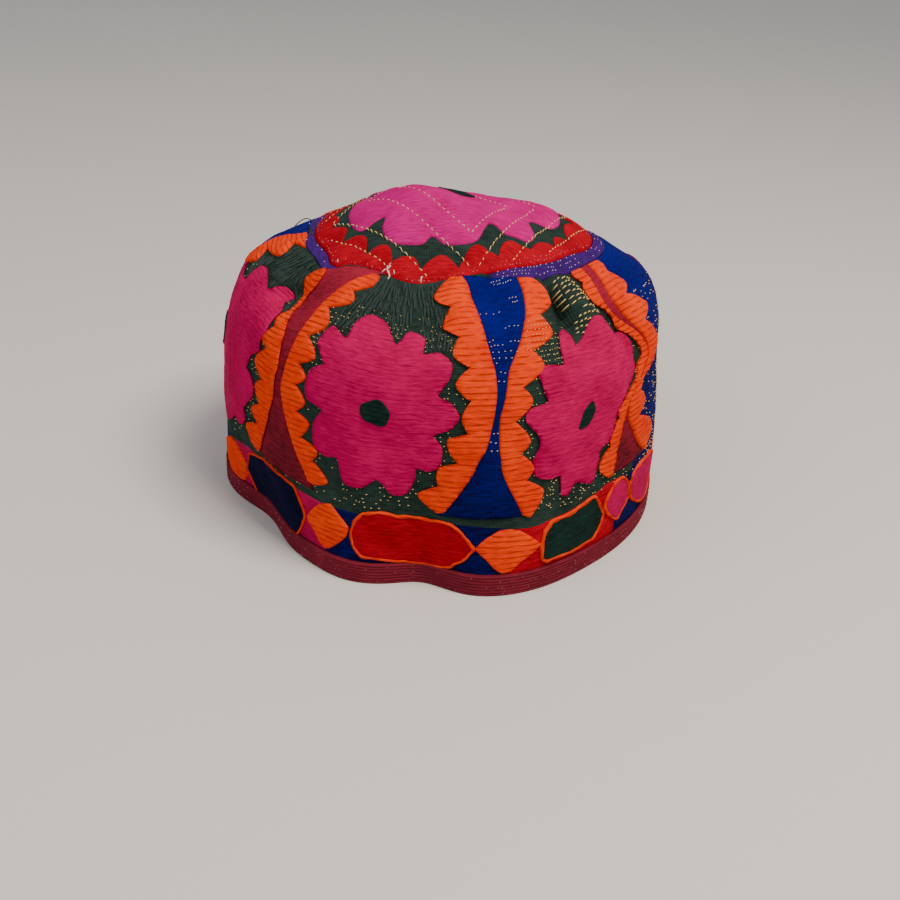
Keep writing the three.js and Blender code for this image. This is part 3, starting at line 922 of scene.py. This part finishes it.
# Scalloped borders along a column's side, from the bottom: the way up and the turn of each notch, then
# the turn that the scallop above it reaches, in degrees from the column's turn, and how far up that
# scallop its tip lies
BLUE_LEFT = [
    (31.5, -11.5, -16, 0.65), (41.3, -11.2, -11.4, 0.8), (50.8, -7.1, -9.9, 0.8), (61.6, -5, -6.9, 0.5),
    (73.2, -4.8, -8.6, 0.5), (84.2, -5, -9.4, 0.4), (94.5, -7.8, -12.4, 0.35), (106.8, -10.2, -15.8, 0.4),
    (119, -11, 0, 0),
]
BLUE_RIGHT = [
    (29.2, 9.8, 13.3, 0.65), (43.4, 8.6, 10.6, 0.45), (53.4, 7, 9.3, 0.38), (65.2, 5.4, 9.6, 0.55),
    (76.5, 7.3, 13.2, 0.5), (87.8, 10.8, 17.6, 0.4), (99, 15, 23.4, 0.35), (116.5, 16.4, 0, 0),
]
LEFT_COLUMN_RIGHT = BLUE_RIGHT[:4] + [
    (76.5, 8.3, 18, 0.6), (86, 20, 34, 0.65), (100.5, 29.5, 44.4, 0.4), (112.2, 40.5, 50.4, 0.55),
    (118.8, 45.4, 0, 0),
]
MAROON_LEFT = [
    (31.8, -14.4, -18.4, 0.6), (44.8, -10.9, -14, 0.55), (54, -9.4, -11.8, 0.55), (65, -8.2, -12.8, 0.4),
    (77.2, -8, -11, 0.25), (86, -7.9, -9.4, 0.4), (94, -7.6, -8.6, 0.5), (102.5, -8.9, -11.2, 0.4),
    (115.6, -5.8, 0, 0),
]
MAROON_RIGHT = [
    (33, 10.6, 15, 0.35), (42.5, 10, 11.6, 0.7), (50, 6.4, 8.9, 0.7), (59.5, 4.8, 7.4, 0.45),
    (69, 3.8, 6.6, 0.45), (76.8, 3.9, 8.4, 0.35), (87.2, 4.2, 9, 0.45), (98.8, 7, 13.6, 0.5),
    (107, 12.4, 17.6, 0.5), (117, 17.4, 0, 0),
]
PINCHED_LEFT = [
    (35.4, -10.4, -14.2, 0.45), (47.2, -10.3, -10.3, 0.35), (57, -7, -7.3, 0.3), (66, -1.4, 7.4, 0.4),
    (88, 0.7, 0.1, 0.5), (96.5, -1.4, -6.3, 0.68), (107.8, -4.8, -7.2, 0.7), (113, -5, 0, 0),
]
PINCHED_RIGHT = [
    (35.2, 9.6, 14.4, 0.5), (53, 2.8, 7.3, 0.45), (62.8, 4, 17.4, 0.5), (86, 11, 16.6, 0.4),
    (97, 8.4, 16, 0.4), (107, 12.5, 17, 0.4), (116.5, 11.5, 0, 0),
]
# turn, rows, left border, right border, cloth
COLUMNS = [
    (12, BLUE_COLUMN, BLUE_LEFT, BLUE_RIGHT, "blue"),
    (-41, MAROON_COLUMN, MAROON_LEFT, MAROON_RIGHT, "maroon"),
    (56, PINCHED_COLUMN, PINCHED_LEFT, PINCHED_RIGHT, "maroon"),
    (136, BLUE_COLUMN, BLUE_LEFT, BLUE_RIGHT, "blue"),
    (190, MAROON_COLUMN, MAROON_LEFT, MAROON_RIGHT, "maroon"),
    (-117, LEFT_COLUMN, BLUE_LEFT, LEFT_COLUMN_RIGHT, "blue"),
]


TOP_MARGIN = 0.2
# How round a scallop is: 1 makes a pointed one, and 2 a round one.
SCALLOP_POWER = 1.55


def below_tape(line):
    """The part of a closed line that lies under the wall's top."""
    room = wall_top(line[:, 0] / DEGREE) - TOP_MARGIN - line[:, 1]
    kept = []
    for here, there, first, second in zip(line, np.roll(line, -1, axis=0), room, np.roll(room, -1)):
        if first >= 0:
            kept.append(here)
        if (first >= 0) != (second >= 0):
            kept.append(here + (there - here) * first / (first - second))
    return np.array(kept)


def scalloped(border):
    """The outer edge of a border from bottom to top: between each two notches a scallop, with its tip off
    the middle."""
    line = []
    for (low, first, reach, tip), (high, last, _, _) in zip(border, border[1:]):
        share = np.linspace(0, 1, 17)[:-1]
        straight = first + (last - first) * share
        middle = first + (last - first) * tip
        away = np.where(share < tip, 1 - share / tip, (share - tip) / (1 - tip))
        swell = 1 - away**SCALLOP_POWER
        line.append(np.stack([straight + (reach - middle) * swell, low + (high - low) * share], -1))
    line.append([(border[-1][1], border[-1][0])])
    return np.vstack(line)


OVERLAP = 0.35
column_lines = {"blue": [], "maroon": []}
border_lines = []
for turn, rows, left, right, cloth in COLUMNS:
    ups = np.linspace(rows[0][0], rows[-1][0], 72)
    left_edge = np.stack([looked_up(rows, ups, 1), ups], -1)
    right_edge = np.stack([looked_up(rows, ups, 2), ups], -1)
    for edge in (left_edge, right_edge):
        edge[1:-1, 0] = (edge[:-2, 0] + edge[1:-1, 0] + edge[2:, 0]) / 3
    outline = np.vstack([left_edge, right_edge[::-1]])
    column_lines[cloth].append(below_tape((outline + (turn, 0)) * (DEGREE, 1)))
    for border, edge, inwards in ((left, left_edge, 1), (right, right_edge, -1)):
        outer = scalloped(border)
        kept = edge[(edge[:, 1] > outer[0, 1]) & (edge[:, 1] < outer[-1, 1])] + (inwards * OVERLAP, 0)
        line = np.vstack([outer, kept[::-1]])
        border_lines.append(below_tape((line + (turn, 0)) * (DEGREE, 1)))


def on_petals(place):
    """The same place, but on the petals and not on the cloth."""
    return lambda across, up, depth: place(across, up, depth - PROUD_PINK)


add_patches("wall_flowers", flower_lines, on_wall, pink_wool, PETAL_WORK)
add_patches("wall_flower_hearts", heart_lines, on_petals(on_wall), green_wool, HEART_WORK)
add_patches("wall_scallops", border_lines, on_wall, orange_wool, SCALLOP_WORK)
for cloth, material in (("blue", blue_cotton), ("maroon", maroon_cotton)):
    add_patches(f"wall_{cloth}_columns", column_lines[cloth], on_wall, material, COTTON_WORK)

# The band's cells
CELL_MIDDLE = 17.4
CELL_REACH = 8.9
CELL_ROUNDNESS = 0.45
# Widths of the yarn round the cells, how much it wanders, how far it stands out, how high its edges lie
# and about how far apart the points of its line are
OUTLINE_WIDTHS = {"navy": 0.8, "red": 1.1, "green": 1.4, "pink": 1.1}
WANDER = 0.25
CORD_PROUD = 0.8
CORD_LIFT = 0.2
CORD_STEP = 0.9
wools = {"orange": orange_wool, "navy": navy_wool, "red": red_wool, "green": green_wool, "pink": pink_wool}
# A quarter of each plain cell's outline, from its end to its top, as shares of its half length and of its
# reach
DIAMOND = [(1, 0), (0.5, 0.6), (0, 0.96)]
HEXAGON = [(1, 0), (0.8, 0.72), (0.66, 0.9), (0, 1)]


def cell_line(index, start, end, kind):
    """A cell's outline: its own chart, or a plain diamond or hexagon with the same four quarters."""
    if index < len(CELL_CHARTS):
        return catmull_rom(CELL_CHARTS[index][::-1], 6, closed=True, roundness=CELL_ROUNDNESS) * (DEGREE, 1)
    quarter = np.array(DIAMOND if kind == "diamond" else HEXAGON, float)
    quarter = quarter * ((end - start) / 2 * DEGREE, CELL_REACH)
    top = np.vstack([quarter, quarter[-2::-1] * (-1, 1)])
    whole = np.vstack([top, top[-2:0:-1] * (1, -1)])
    line = catmull_rom(whole, 8, closed=True, roundness=CELL_ROUNDNESS)
    return line + ((start + end) / 2 * DEGREE, CELL_MIDDLE)


cell_lines = {colour: [] for colour in wools}
ringed = []
for index, (start, end, kind, colour, _) in enumerate(CELLS):
    line = cell_line(index, start, end, kind)
    cell_lines[colour].append(line)
    if colour in OUTLINE_WIDTHS:
        ringed.append((line, OUTLINE_WIDTHS[colour]))
for colour, lines in cell_lines.items():
    work = SCALLOP_WORK if colour == "orange" else PETAL_WORK
    work = {**work, "stride": 2.0, "raised": PROUD_PINK}
    add_patches(f"band_{colour}_cells", lines, on_wall, wools[colour], work)


def outline_cord(line, width):
    """A line of couched yarn that runs along a closed line: a ring of round section, moved onto the
    line."""
    steps = len(line)
    angles = np.linspace(0, math.pi, 7)
    section = [(FLAT_RADIUS + math.cos(angle), math.sin(angle)) for angle in angles]
    section += [(FLAT_RADIUS - 1, -1), (FLAT_RADIUS + 1, -1)]
    mesh = mesh_of(spun(section, steps), "outline")
    points = coordinates(mesh)
    share = (np.degrees(np.arctan2(points[:, 1], points[:, 0])) % WHOLE_TURN) / WHOLE_TURN * steps
    first = np.floor(share + 1e-3).astype(int) % steps
    following = np.roll(line, -1, axis=0) - np.roll(line, 1, axis=0)
    normal = np.stack([following[:, 1], -following[:, 0]], -1) / np.linalg.norm(following, axis=1)[:, None]
    wander = WANDER * uneven(line[:, 0], line[:, 1], 3)
    offset = (np.hypot(points[:, 0], points[:, 1]) - FLAT_RADIUS) * width / 2
    offset = offset * (1 + 0.35 * uneven(line[first, 0] + 30, line[first, 1], 2)) + wander[first]
    flat = line[first] + normal[first] * offset[:, None]
    height = np.where(points[:, 2] < -0.5, -UNDERCUT, CORD_PROUD * np.clip(points[:, 2], 0, 1) + CORD_LIFT)
    set_places(mesh, on_wall(flat[:, 0], flat[:, 1], -height))
    set_cloth_map(mesh, first * CORD_STEP, offset)
    return mesh


# The band's cloth where it reaches up over the wall's edge at the right: cloth, name, outline as turn and
# way up
RISES = [
    (
        red_cotton, "band_red_rise",
        [(53, 27.6), (53, 31.2), (49.5, 31.8), (45.5, 31.7), (42.2, 30.2), (38, 28.9), (34, 27.6)],
    ),
    (
        blue_cotton, "band_blue_rise",
        [(52.6, 27.6), (52.8, 31.2), (59, 30.3), (64, 29.6), (72, 28.6), (76, 27.6)],
    ),
]
for material, name, corners in RISES:
    line = np.array(corners, float) * (DEGREE, 1)
    add_patches(name, [line], on_wall, material, {**COTTON_WORK, "raised": 0.2})

add_joined("band_outlines", [outline_cord(line, width) for line, width in ringed], orange_wool)

# The crown's flower: turn and radius of points on its edge
CROWN_FLOWER = [
    (-100, 30), (-93, 37), (-80, 39.5), (-66, 41), (-53, 41), (-47.5, 33.5), (-41, 38), (-32, 42),
    (-22, 42.5), (-14, 40.5), (-10, 35.8), (-3, 38.5), (6, 39.5), (15, 37.5), (24, 31), (31, 28.5),
    (36, 36), (44, 40.3), (53, 39), (60, 34), (67, 32.5), (73, 38), (80, 41), (90, 42), (100, 41),
    (107, 33), (114, 38.5), (124, 40.5), (134, 38.5), (141, 31.5), (149, 38), (160, 40.5), (170, 38.5),
    (177, 31.5), (185, 38), (195, 40.5), (205, 38.5), (212, 31.5), (220, 38), (230, 40.5), (242, 38.5),
    (250, 31),
]
# Teeth of the red ring: turn and radius of each notch, and the radius that the tooth after it reaches in to
TEETH = [
    (-56, 47.9, 43), (-37, 49.7, 44.6), (-23, 51, 46.2), (-11, 50.8, 44.4), (4, 50.2, 39.8),
    (22, 46.3, 39.2), (41, 44.5, 42.4), (59, 45.6, 42.2), (75, 46.4, 43.4), (95, 48.2, 43),
    (114, 48.5, 43), (133, 48, 42.6), (151, 48.5, 43), (170, 48.2, 42.6), (189, 48.5, 43), (208, 48.2, 43),
    (227, 48, 42.6), (246, 48.5, 43), (266, 48.2, 42.8), (285, 48.2, 42.8), (304, 47.9, None),
]

petals = np.array(CROWN_FLOWER, float)
crown_line = catmull_rom(crown_flat(petals[:, 0], petals[:, 1]), 6, closed=True)
add_patches("crown_flower", [crown_line], on_crown, crown_wool_painted_light, PETAL_WORK)

# The crown's heart: its middle, to the right and back, and its half width and half depth
HEART_MIDDLE = (1.5, 9)
HEART_HALVES = (7.5, 6)
circle = np.radians(np.arange(0, WHOLE_TURN, 6))
heart_line = np.stack([np.cos(circle), np.sin(circle)], -1) * HEART_HALVES + HEART_MIDDLE
add_patches("crown_flower_heart", [heart_line], on_petals(on_crown), green_wool, HEART_WORK)


# How round a tooth is, as with SCALLOP_POWER
TOOTH_POWER = 1.9


def tooth_radius(turn):
    """The red ring's inner edge: a rounded tooth between each two notches."""
    radius = np.zeros(len(turn))
    for (start, first, reach), (end, last, _) in zip(TEETH, TEETH[1:]):
        share = ((turn - start) % WHOLE_TURN) / (end - start)
        straight = first + (last - first) * share
        swell = 1 - np.abs(2 * share - 1) ** TOOTH_POWER
        radius = np.where(share < 1, straight + (reach - (first + last) / 2) * swell, radius)
    return radius


# How far the red ring reaches over the seam
SEAM_LAP = 0.4
# The ring's width before it is placed, how far in its edge is rounded, and how many times less at the seam
RING_WIDTH = 10.0
RING_ROUNDING = 1.2
SEAM_SHARPNESS = 1.5


def crown_ring():
    """The red ring with its teeth, from the flower's ground out to the seam."""
    rim = FLAT_RADIUS + RING_WIDTH
    section = [(radius, 1) for radius in spaced(FLAT_RADIUS, rim, 14)] + [(rim, -1), (FLAT_RADIUS, -1)]
    mesh = mesh_of(spun(section, 720), "crown_red_ring")
    points = coordinates(mesh)
    turn = flat_turn(points)
    share = (np.hypot(points[:, 0], points[:, 1]) - FLAT_RADIUS) / RING_WIDTH
    outer, _ = crown_edge(turn)
    inner = tooth_radius(turn)
    radius = inner + (outer + SEAM_LAP - inner) * share
    across, up = crown_flat(turn, radius).T
    inside = np.minimum(radius - inner, (outer - radius) * SEAM_SHARPNESS) / RING_ROUNDING
    edge = np.sqrt(1 - (1 - np.clip(inside, 0, 1)) ** 2)
    row = 0.5 + 0.5 * np.sin(2 * math.pi * up / PINK_PITCH)
    swells = 0.15 * row + 0.12 * uneven(across, up, 6)
    height = PROUD_PINK * (EDGE_SHARE + (1 - EDGE_SHARE) * edge) + swells * edge
    set_places(mesh, on_crown(across, up, np.where(points[:, 2] < 0, UNDERCUT, -height)))
    set_cloth_map(mesh, across, up)
    add_object("crown_red_ring", mesh, None, [red_wool])


crown_ring()

# Stitches


def stitch_of_each_point(mesh):
    """Which stitch each vertex belongs to. The stitches are separate parts of the mesh, in the order of
    making."""
    parent = np.arange(len(mesh.vertices))
    edges = np.array([edge.vertices[:] for edge in mesh.edges])
    while True:
        low = np.minimum(parent[edges[:, 0]], parent[edges[:, 1]])
        before = parent.copy()
        np.minimum.at(parent, edges[:, 0], low)
        np.minimum.at(parent, edges[:, 1], low)
        if np.array_equal(parent, before):
            break
    return np.unique(parent, return_inverse=True)[1]


def add_stitches(name, stitches, place, thickness, material, rings=3, sides=5, flatness=1.0):
    """Short stitches of thread as one piece. Each has the flat place of its two ends and how proud its
    middle stands. At its ends a stitch is thinner and lies lower."""
    bm = bmesh.new()
    lying = Matrix.Rotation(math.pi / 2, 4, "Y")
    for _ in stitches:
        made = bmesh.ops.create_cone(
            bm, cap_ends=True, segments=sides, radius1=0.5, radius2=0.5, depth=1, matrix=lying
        )
        edges = {edge for vert in made["verts"] for edge in vert.link_edges}
        lengthwise = [edge for edge in edges if abs(edge.verts[0].co.x - edge.verts[1].co.x) > 0.5]
        bmesh.ops.subdivide_edges(bm, edges=sorted(lengthwise, key=lambda edge: edge.index), cuts=rings - 2)
    mesh = mesh_of(bm, name)
    points = coordinates(mesh)
    table = np.array([(*start, *end, proud) for start, end, proud in stitches], float)
    owner = stitch_of_each_point(mesh)
    share = points[:, 0] + 0.5
    first = table[owner, :2]
    last = table[owner, 2:4]
    way = last - first
    normal = np.stack([-way[:, 1], way[:, 0]], -1) / np.maximum(np.linalg.norm(way, axis=1), 1e-6)[:, None]
    swell = np.sin(math.pi * np.clip(share, 0, 1))
    wide = thickness * (0.45 + 0.55 * swell)
    flat = first + way * share[:, None] + normal * (points[:, 1] * wide)[:, None]
    height = table[owner, 4] * (0.25 + 0.75 * swell) + points[:, 2] * wide * flatness
    set_places(mesh, place(flat[:, 0], flat[:, 1], -height))
    add_object(name, mesh, None, [material])


STITCH_LENGTH = 2.6
STITCH_GAP = 0.35


def run_of_stitches(start, end, proud, seed):
    """Running stitches from start to end, on the flat."""
    whole = np.linalg.norm(end - start)
    direction = (end - start) / whole
    side = np.array([-direction[1], direction[0]])
    step = STITCH_LENGTH + STITCH_GAP
    stitches = []
    for index in range(int(whole / step)):
        first = start + direction * (index * step + STITCH_GAP / 2)
        wobble = side * 0.25 * math.sin(index * 2.3 + seed)
        reach = STITCH_LENGTH * (0.85 + 0.15 * math.sin(index * 1.7 + seed))
        stitches.append((first + wobble, first + direction * reach - wobble, proud))
    return stitches


# How proud the quilting stands, and how far from the seam it stops
QUILT_PROUD = 1.05
QUILT_MARGIN = 2.5


def quilting():
    """The gilt quilting stitches, one after another along each round, inside the crown's edge."""
    stitches = []
    for seed, (near, far) in enumerate(QUILT_ROUNDS):
        corners = []
        for first, second in ((1, 1), (-1, 1), (-1, -1), (1, -1)):
            corners.append(np.linalg.solve(np.array(QUILT_FACES), np.array([first * near, second * far])))
        for start, end in zip(corners, corners[1:] + corners[:1]):
            stitches += run_of_stitches(start, end, QUILT_PROUD, seed)
    kept = []
    for start, end, proud in stitches:
        middle = (start + end) / 2
        radius, _ = crown_edge(np.degrees(np.arctan2(middle[0], -middle[1])))
        if np.linalg.norm(middle) < radius - QUILT_MARGIN:
            kept.append((start, end, proud))
    return kept


add_stitches("quilting_stitches", quilting(), on_crown, 0.36, gilt_thread, rings=4, sides=6)


def inside_line(line, points):
    """Which points lie inside a closed line."""
    inside = np.zeros(len(points), bool)
    for start, end in zip(line, np.roll(line, -1, axis=0)):
        crosses = (start[1] > points[:, 1]) != (end[1] > points[:, 1])
        rise = end[1] - start[1]
        at = start[0] + (points[:, 1] - start[1]) * (end[0] - start[0]) / (rise if abs(rise) > 1e-9 else 1e-9)
        inside ^= crosses & (points[:, 0] < at)
    return inside


def clear_of(lines, points):
    """Which points lie outside all these patches of the wall, which goes round on itself."""
    lap = WHOLE_TURN * DEGREE
    covered = np.zeros(len(points), bool)
    for line in lines:
        shifted = points.copy()
        shifted[:, 0] += lap * np.round((line[:, 0].mean() - points[:, 0]) / lap)
        covered |= inside_line(line, shifted)
    return ~covered


def speck_stitches(points, length, proud, chance):
    """Short stitches in the direction of the rows. chance makes each one a little different."""
    stitches = []
    for (across, up), share in zip(points, chance):
        half = length * (0.6 + 0.8 * share) / 2
        rise = half * 0.3 * math.sin(40 * share)
        stitches.append(((across - half, up - rise), (across + half, up + rise), proud))
    return stitches


def row_places(first, last, spacing):
    """Places from one turn to another, this many millimetres apart."""
    return np.arange(first * DEGREE, last * DEGREE, spacing)


def scattered(first_turn, last_turn, low, high, spacing, pitch, share, seed):
    """Places in rows over part of the wall, of which this share is kept."""
    chances = np.random.default_rng(seed)
    grid = np.meshgrid(row_places(first_turn, last_turn, spacing), np.arange(low, high, pitch))
    grid = np.stack([value.ravel() for value in grid], -1)
    grid[:, 0] += chances.uniform(-0.4, 0.4, len(grid)) * spacing
    grid[:, 1] += chances.uniform(-0.12, 0.12, len(grid)) * pitch
    patchy = share * (1 + 0.9 * uneven(grid[:, 0], grid[:, 1], 11))
    grid = grid[chances.uniform(0, 1, len(grid)) < patchy]
    return grid, chances.uniform(0, 1, len(grid))


wall_patches = flower_lines + border_lines + column_lines["blue"] + column_lines["maroon"]
gilt = []
# first turn, last turn, lowest, highest, spacing, share kept
GILT_SPECKS = [
    (-180, 180, 31, 50, 1.7, 0.3), (-180, 180, 50, 84, 1.7, 0.24), (-180, 180, 84, 96, 1.7, 0.16),
    (-40, -22, 84, 103, 1.4, 0.5), (-22, 5, 90, 104, 1.4, 0.36), (20, 36, 84, 92, 1.4, 0.7),
    (15, 40, 32, 46, 1.6, 0.3),
]
SPECK_ROWS = 1.7
for seed, (first, last, low, high, spacing, share) in enumerate(GILT_SPECKS):
    points, chance = scattered(first, last, low, high, spacing, SPECK_ROWS, share, seed)
    kept = clear_of(wall_patches, points)
    gilt += speck_stitches(points[kept], 0.6, 0.32, chance[kept])
# Rows of gilt running stitches near the top of the panel right of the front: way up, first turn, last
# turn, length
GILT_ROWS = [
    (110.5, 38.5, 46.5, 1.5), (108.6, 38, 47.5, 1.9), (106.7, 37.6, 48.5, 2.2), (104.8, 37.6, 49, 2.2),
    (102.9, 37.8, 50, 2.2), (101, 38, 47, 2.0), (98.3, 42, 51, 3.0), (96.2, 40, 52, 1.4),
    (94.4, 38.6, 43, 1.2), (92.6, 38.2, 41, 1.2), (90.8, 38, 40, 1.2),
]
running = []
for along, first, last, length in GILT_ROWS:
    for across in row_places(first, last, length + 0.7):
        lift = 0.25 * math.sin(across * 1.7 + along)
        running.append(((across, along + lift), (across + length, along + 0.4 + lift), 0.5))
add_stitches("gilt_running_stitches", running, on_wall, 0.58, gilt_thread)
# Gilt specks on the border right of the front: way up, first turn, last turn, spacing in millimetres
BORDER_ROWS = [
    (97.4, 22.6, 27, 2.1), (95.6, 22, 28, 1.5), (94.2, 21.6, 28.4, 1.7), (92.6, 21, 28, 1.5),
    (91, 20.6, 27.4, 1.8), (89.4, 20, 26, 1.4), (88, 19.6, 24, 1.6),
]
for along, first, last, spacing in BORDER_ROWS:
    for across in row_places(first, last, spacing):
        gilt.append(((across, along), (across + 0.6, along + 0.3 * math.sin(across * 5)), 1.35))
add_stitches("ground_specks", gilt, on_wall, 0.4, gilt_thread)

# Pale specks in rows over the blue column: way up, first turn, last turn, spacing in millimetres
PALE_ROWS = [
    (102.4, 7.5, 17, 3.1), (96.6, 16, 20, 1.9), (92.4, 9, 12.4, 1.6), (91, 9.6, 14.6, 1.5),
    (91.6, 17, 19.4, 1.6), (88.4, 9.2, 18.6, 2.3), (86.6, 9.4, 18.8, 2.2), (84.8, 11, 13, 2.6),
    (82, 13.4, 15, 1.8), (79, 13, 14.6, 2.2), (61.6, 11.2, 14.2, 1.6), (58.4, 11.4, 13, 1.6),
    (55.8, 10, 15, 2.4), (107, 19.6, 21.6, 1.3), (105.4, 19.8, 21.6, 1.3), (113.4, 16, 22, 1.5),
    (115, 15, 20, 1.7),
]
pale = []
pale_chances = np.random.default_rng(5)
for along, first, last, spacing in PALE_ROWS:
    for across in row_places(first, last, spacing):
        shift = pale_chances.uniform(-0.35, 0.35, 2)
        start = (across + shift[0], along + shift[1])
        pale.append((start, (start[0] + 0.7, start[1] + 0.1), 0.6))
# Rows of small stitches along the tape, closer at the right of the front: share of its width
TAPE_ROWS = (0.25, 0.55, 0.85)
tape_chances = np.random.default_rng(7)
for row in TAPE_ROWS:
    for turn in np.arange(-180, 180, 1.7):
        share = 0.1 + 0.65 * bump(turn - 36, 24)
        if tape_chances.uniform() < share and tape_cover(turn) < 0.3:
            along = OUTLINE_LENGTH - tape_width(turn) * (1 - row)
            across = (turn + tape_chances.uniform(-0.5, 0.5)) * DEGREE
            pale.append(((across - 0.35, along), (across + 0.35, along + 0.2), 0.42))
add_stitches("white_specks", pale, on_wall, 0.36, white_thread)

# Tiny stitches that hold the crown down along the seam, some way apart but at the right of the front
seam = []
seam_chances = np.random.default_rng(11)
for turn in np.arange(-180, 180, 1.9):
    radius, _ = crown_edge(turn)
    for inset, share in ((0.5, 0.62), (2.0, 0.22)):
        away = crown_flat(turn + seam_chances.uniform(-0.6, 0.6), 1)
        side = np.array([-away[1], away[0]])
        if seam_chances.uniform() < share + 0.35 * bump(turn - 30, 20):
            middle = away * (radius - inset - seam_chances.uniform(0, 0.5))
            reach = side * 0.35 + away * 0.15
            seam.append((middle - reach, middle + reach, 0.75))
add_stitches("seam_specks", seam, on_crown, 0.4, dusty_thread)
# The knots where the seam's thread was made fast: turn, way in from the edge, length and lean of each of
# its turns
KNOT = [
    (-23.4, 2.8, 4.4, 0.4), (-22.4, 2.4, 3.2, -0.9), (-24.3, 1.9, 2.6, 1.2), (-23.2, 0.9, 2.2, -1.8),
    (-21.2, 1.2, 2.8, 1.6), (-10.2, 1.4, 2.6, 0.8), (-9.2, 1.5, 2.4, -0.8), (-46.6, 0.8, 1.8, 0.9),
]
knot = []
for turn, inset, length, lean in KNOT:
    radius, _ = crown_edge(turn)
    away = crown_flat(turn, 1)
    middle = away * (radius - inset)
    knot.append((middle - away * length / 2, middle + away * length / 2 + (lean, 0), 1.3))
add_stitches("seam_knots", knot, on_crown, 0.34, white_thread, rings=4, sides=6)

# Strands of dark green wool worked up and down over the ground of the shoulder, with gaps where the cotton
# shows: first turn, last turn, lowest, highest, share kept
STRANDS = [(-92, -44, 86, 116, 0.95), (-40, 4, 88, 118, 0.9), (142, 250, 88, 114, 0.8)]
strands = []
for seed, (first, last, low, high, share) in enumerate(STRANDS):
    points, chance = scattered(first, last, low, high, 1.4, 3.6, share, 40 + seed)
    lean = 0.9 * np.sin(points[:, 0] / 9) + 1.2 * (chance - 0.5)
    half = 1.8 + 1.4 * chance
    ends = [points + np.stack([lean * side, half * side], -1) for side in (-1, 1)]
    kept = ends[1][:, 1] < wall_top(points[:, 0] / DEGREE)
    for places in (points, *ends):
        kept &= clear_of(wall_patches, places)
    for start, end, proud in zip(ends[0][kept], ends[1][kept], chance[kept]):
        strands.append((start, end, 0.12 + 0.25 * proud))
add_stitches(
    "green_satin_strands", strands, on_wall, 1.3, green_thread, rings=4, flatness=0.45
)

# Pale specks in the braid's ribs, on its outer face
points, chance = scattered(-180, 180, 1.2, HEM_HEIGHT - 0.8, 2.3, RIB_PITCH, 0.22, 31)
braid_specks = speck_stitches(points, 0.9, GAP + BRAID + 0.12, chance)
add_stitches("braid_specks", braid_specks, on_wall, 0.3, dusty_thread, sides=4)


def loose_thread(name, points, thickness, material):
    """A thread end that has come loose, as a thin round curve through these places in millimetres."""
    data = bpy.data.curves.new(name, "CURVE")
    data.dimensions = "3D"
    data.bevel_depth = thickness / 2 * MM
    data.bevel_resolution = 2
    spline = data.splines.new("POLY")
    line = catmull_rom(points, 6)
    spline.points.add(len(line) - 1)
    for point, place in zip(spline.points, line):
        point.co = (*(place * MM), 1)
    data.materials.append(material)
    made = bpy.data.objects.new(name, data)
    bpy.context.scene.collection.objects.link(made)
    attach(made, "root")


LEFT_END = [(-50.5, -8, 107), (-52.5, -7, 109.5), (-55.5, -6, 110.2), (-58.6, -5, 108), (-60.4, -4.2, 105.5)]
loose_thread("loose_thread_left", LEFT_END, 0.4, green_thread)
KNOT_END = [(-20.6, -50.5, 106.4), (-21.2, -52.4, 107.2), (-20.4, -54.2, 106.2), (-21.4, -55.6, 104.6)]
loose_thread("loose_thread_knot", KNOT_END, 0.5, white_thread)

# Camera, light and floor

CAMERA_PLACE = (0, -462.1, 250.9)
CAMERA_TURN = math.radians(0.6)
CAMERA_DOWN = math.radians(27.45)
CAMERA_ROLL = math.radians(3.4)
FOCAL_PIXELS = 1226.6
PICTURE = 900
SENSOR = 36

level = math.cos(CAMERA_DOWN)
forward = Vector((math.sin(CAMERA_TURN) * level, math.cos(CAMERA_TURN) * level, -math.sin(CAMERA_DOWN)))
right = forward.cross(Vector((0, 0, 1))).normalized()
up = right.cross(forward)
rolled_up = up * math.cos(CAMERA_ROLL) - right * math.sin(CAMERA_ROLL)
rolled_right = right * math.cos(CAMERA_ROLL) + up * math.sin(CAMERA_ROLL)
camera_data = bpy.data.cameras.new("camera")
camera_data.sensor_width = SENSOR
camera_data.lens = FOCAL_PIXELS / PICTURE * SENSOR
camera = bpy.data.objects.new("camera", camera_data)
bpy.context.scene.collection.objects.link(camera)
axes = Matrix((rolled_right, rolled_up, -forward)).transposed().to_4x4()
camera.matrix_world = Matrix.Translation(Vector(CAMERA_PLACE) * MM) @ axes
bpy.context.scene.camera = camera

bm = bmesh.new()
bmesh.ops.create_grid(bm, x_segments=1, y_segments=1, size=4)
floor = bpy.data.objects.new("floor", mesh_of(bm, "floor"))
bpy.context.scene.collection.objects.link(floor)
painted, tree = new_material("pale_matt_floor")
shader = add(tree, "BsdfPrincipled", {"Base Color": linear("#cfc8c2"), "Roughness": 0.6})
add(tree, "OutputMaterial", {"Surface": shader.outputs[0]})
floor.data.materials.append(painted)

# name, place and aim in metres, size, watts, colour
LIGHTS = [
    ("key", (0.4, -0.32, 1.05), (0, 0, 0.06), 0.5, 16, "#fff6ec"),
    ("fill", (-0.9, -0.6, 0.7), (0, 0, 0.05), 0.9, 4.5, "#eef4ff"),
]
for name, place, aim, size, watts, colour in LIGHTS:
    data = bpy.data.lights.new(name, "AREA")
    data.size = size
    data.energy = watts
    data.color = linear(colour)[:3]
    light = bpy.data.objects.new(name, data)
    bpy.context.scene.collection.objects.link(light)
    light.location = place
    light.rotation_euler = (Vector(aim) - Vector(place)).to_track_quat("-Z", "Y").to_euler()

world = bpy.data.worlds.new("studio")
world.use_nodes = True
background = world.node_tree.nodes["Background"]
background.inputs["Color"].default_value = linear("#dfe3e6")
background.inputs["Strength"].default_value = 0.62
bpy.context.scene.world = world
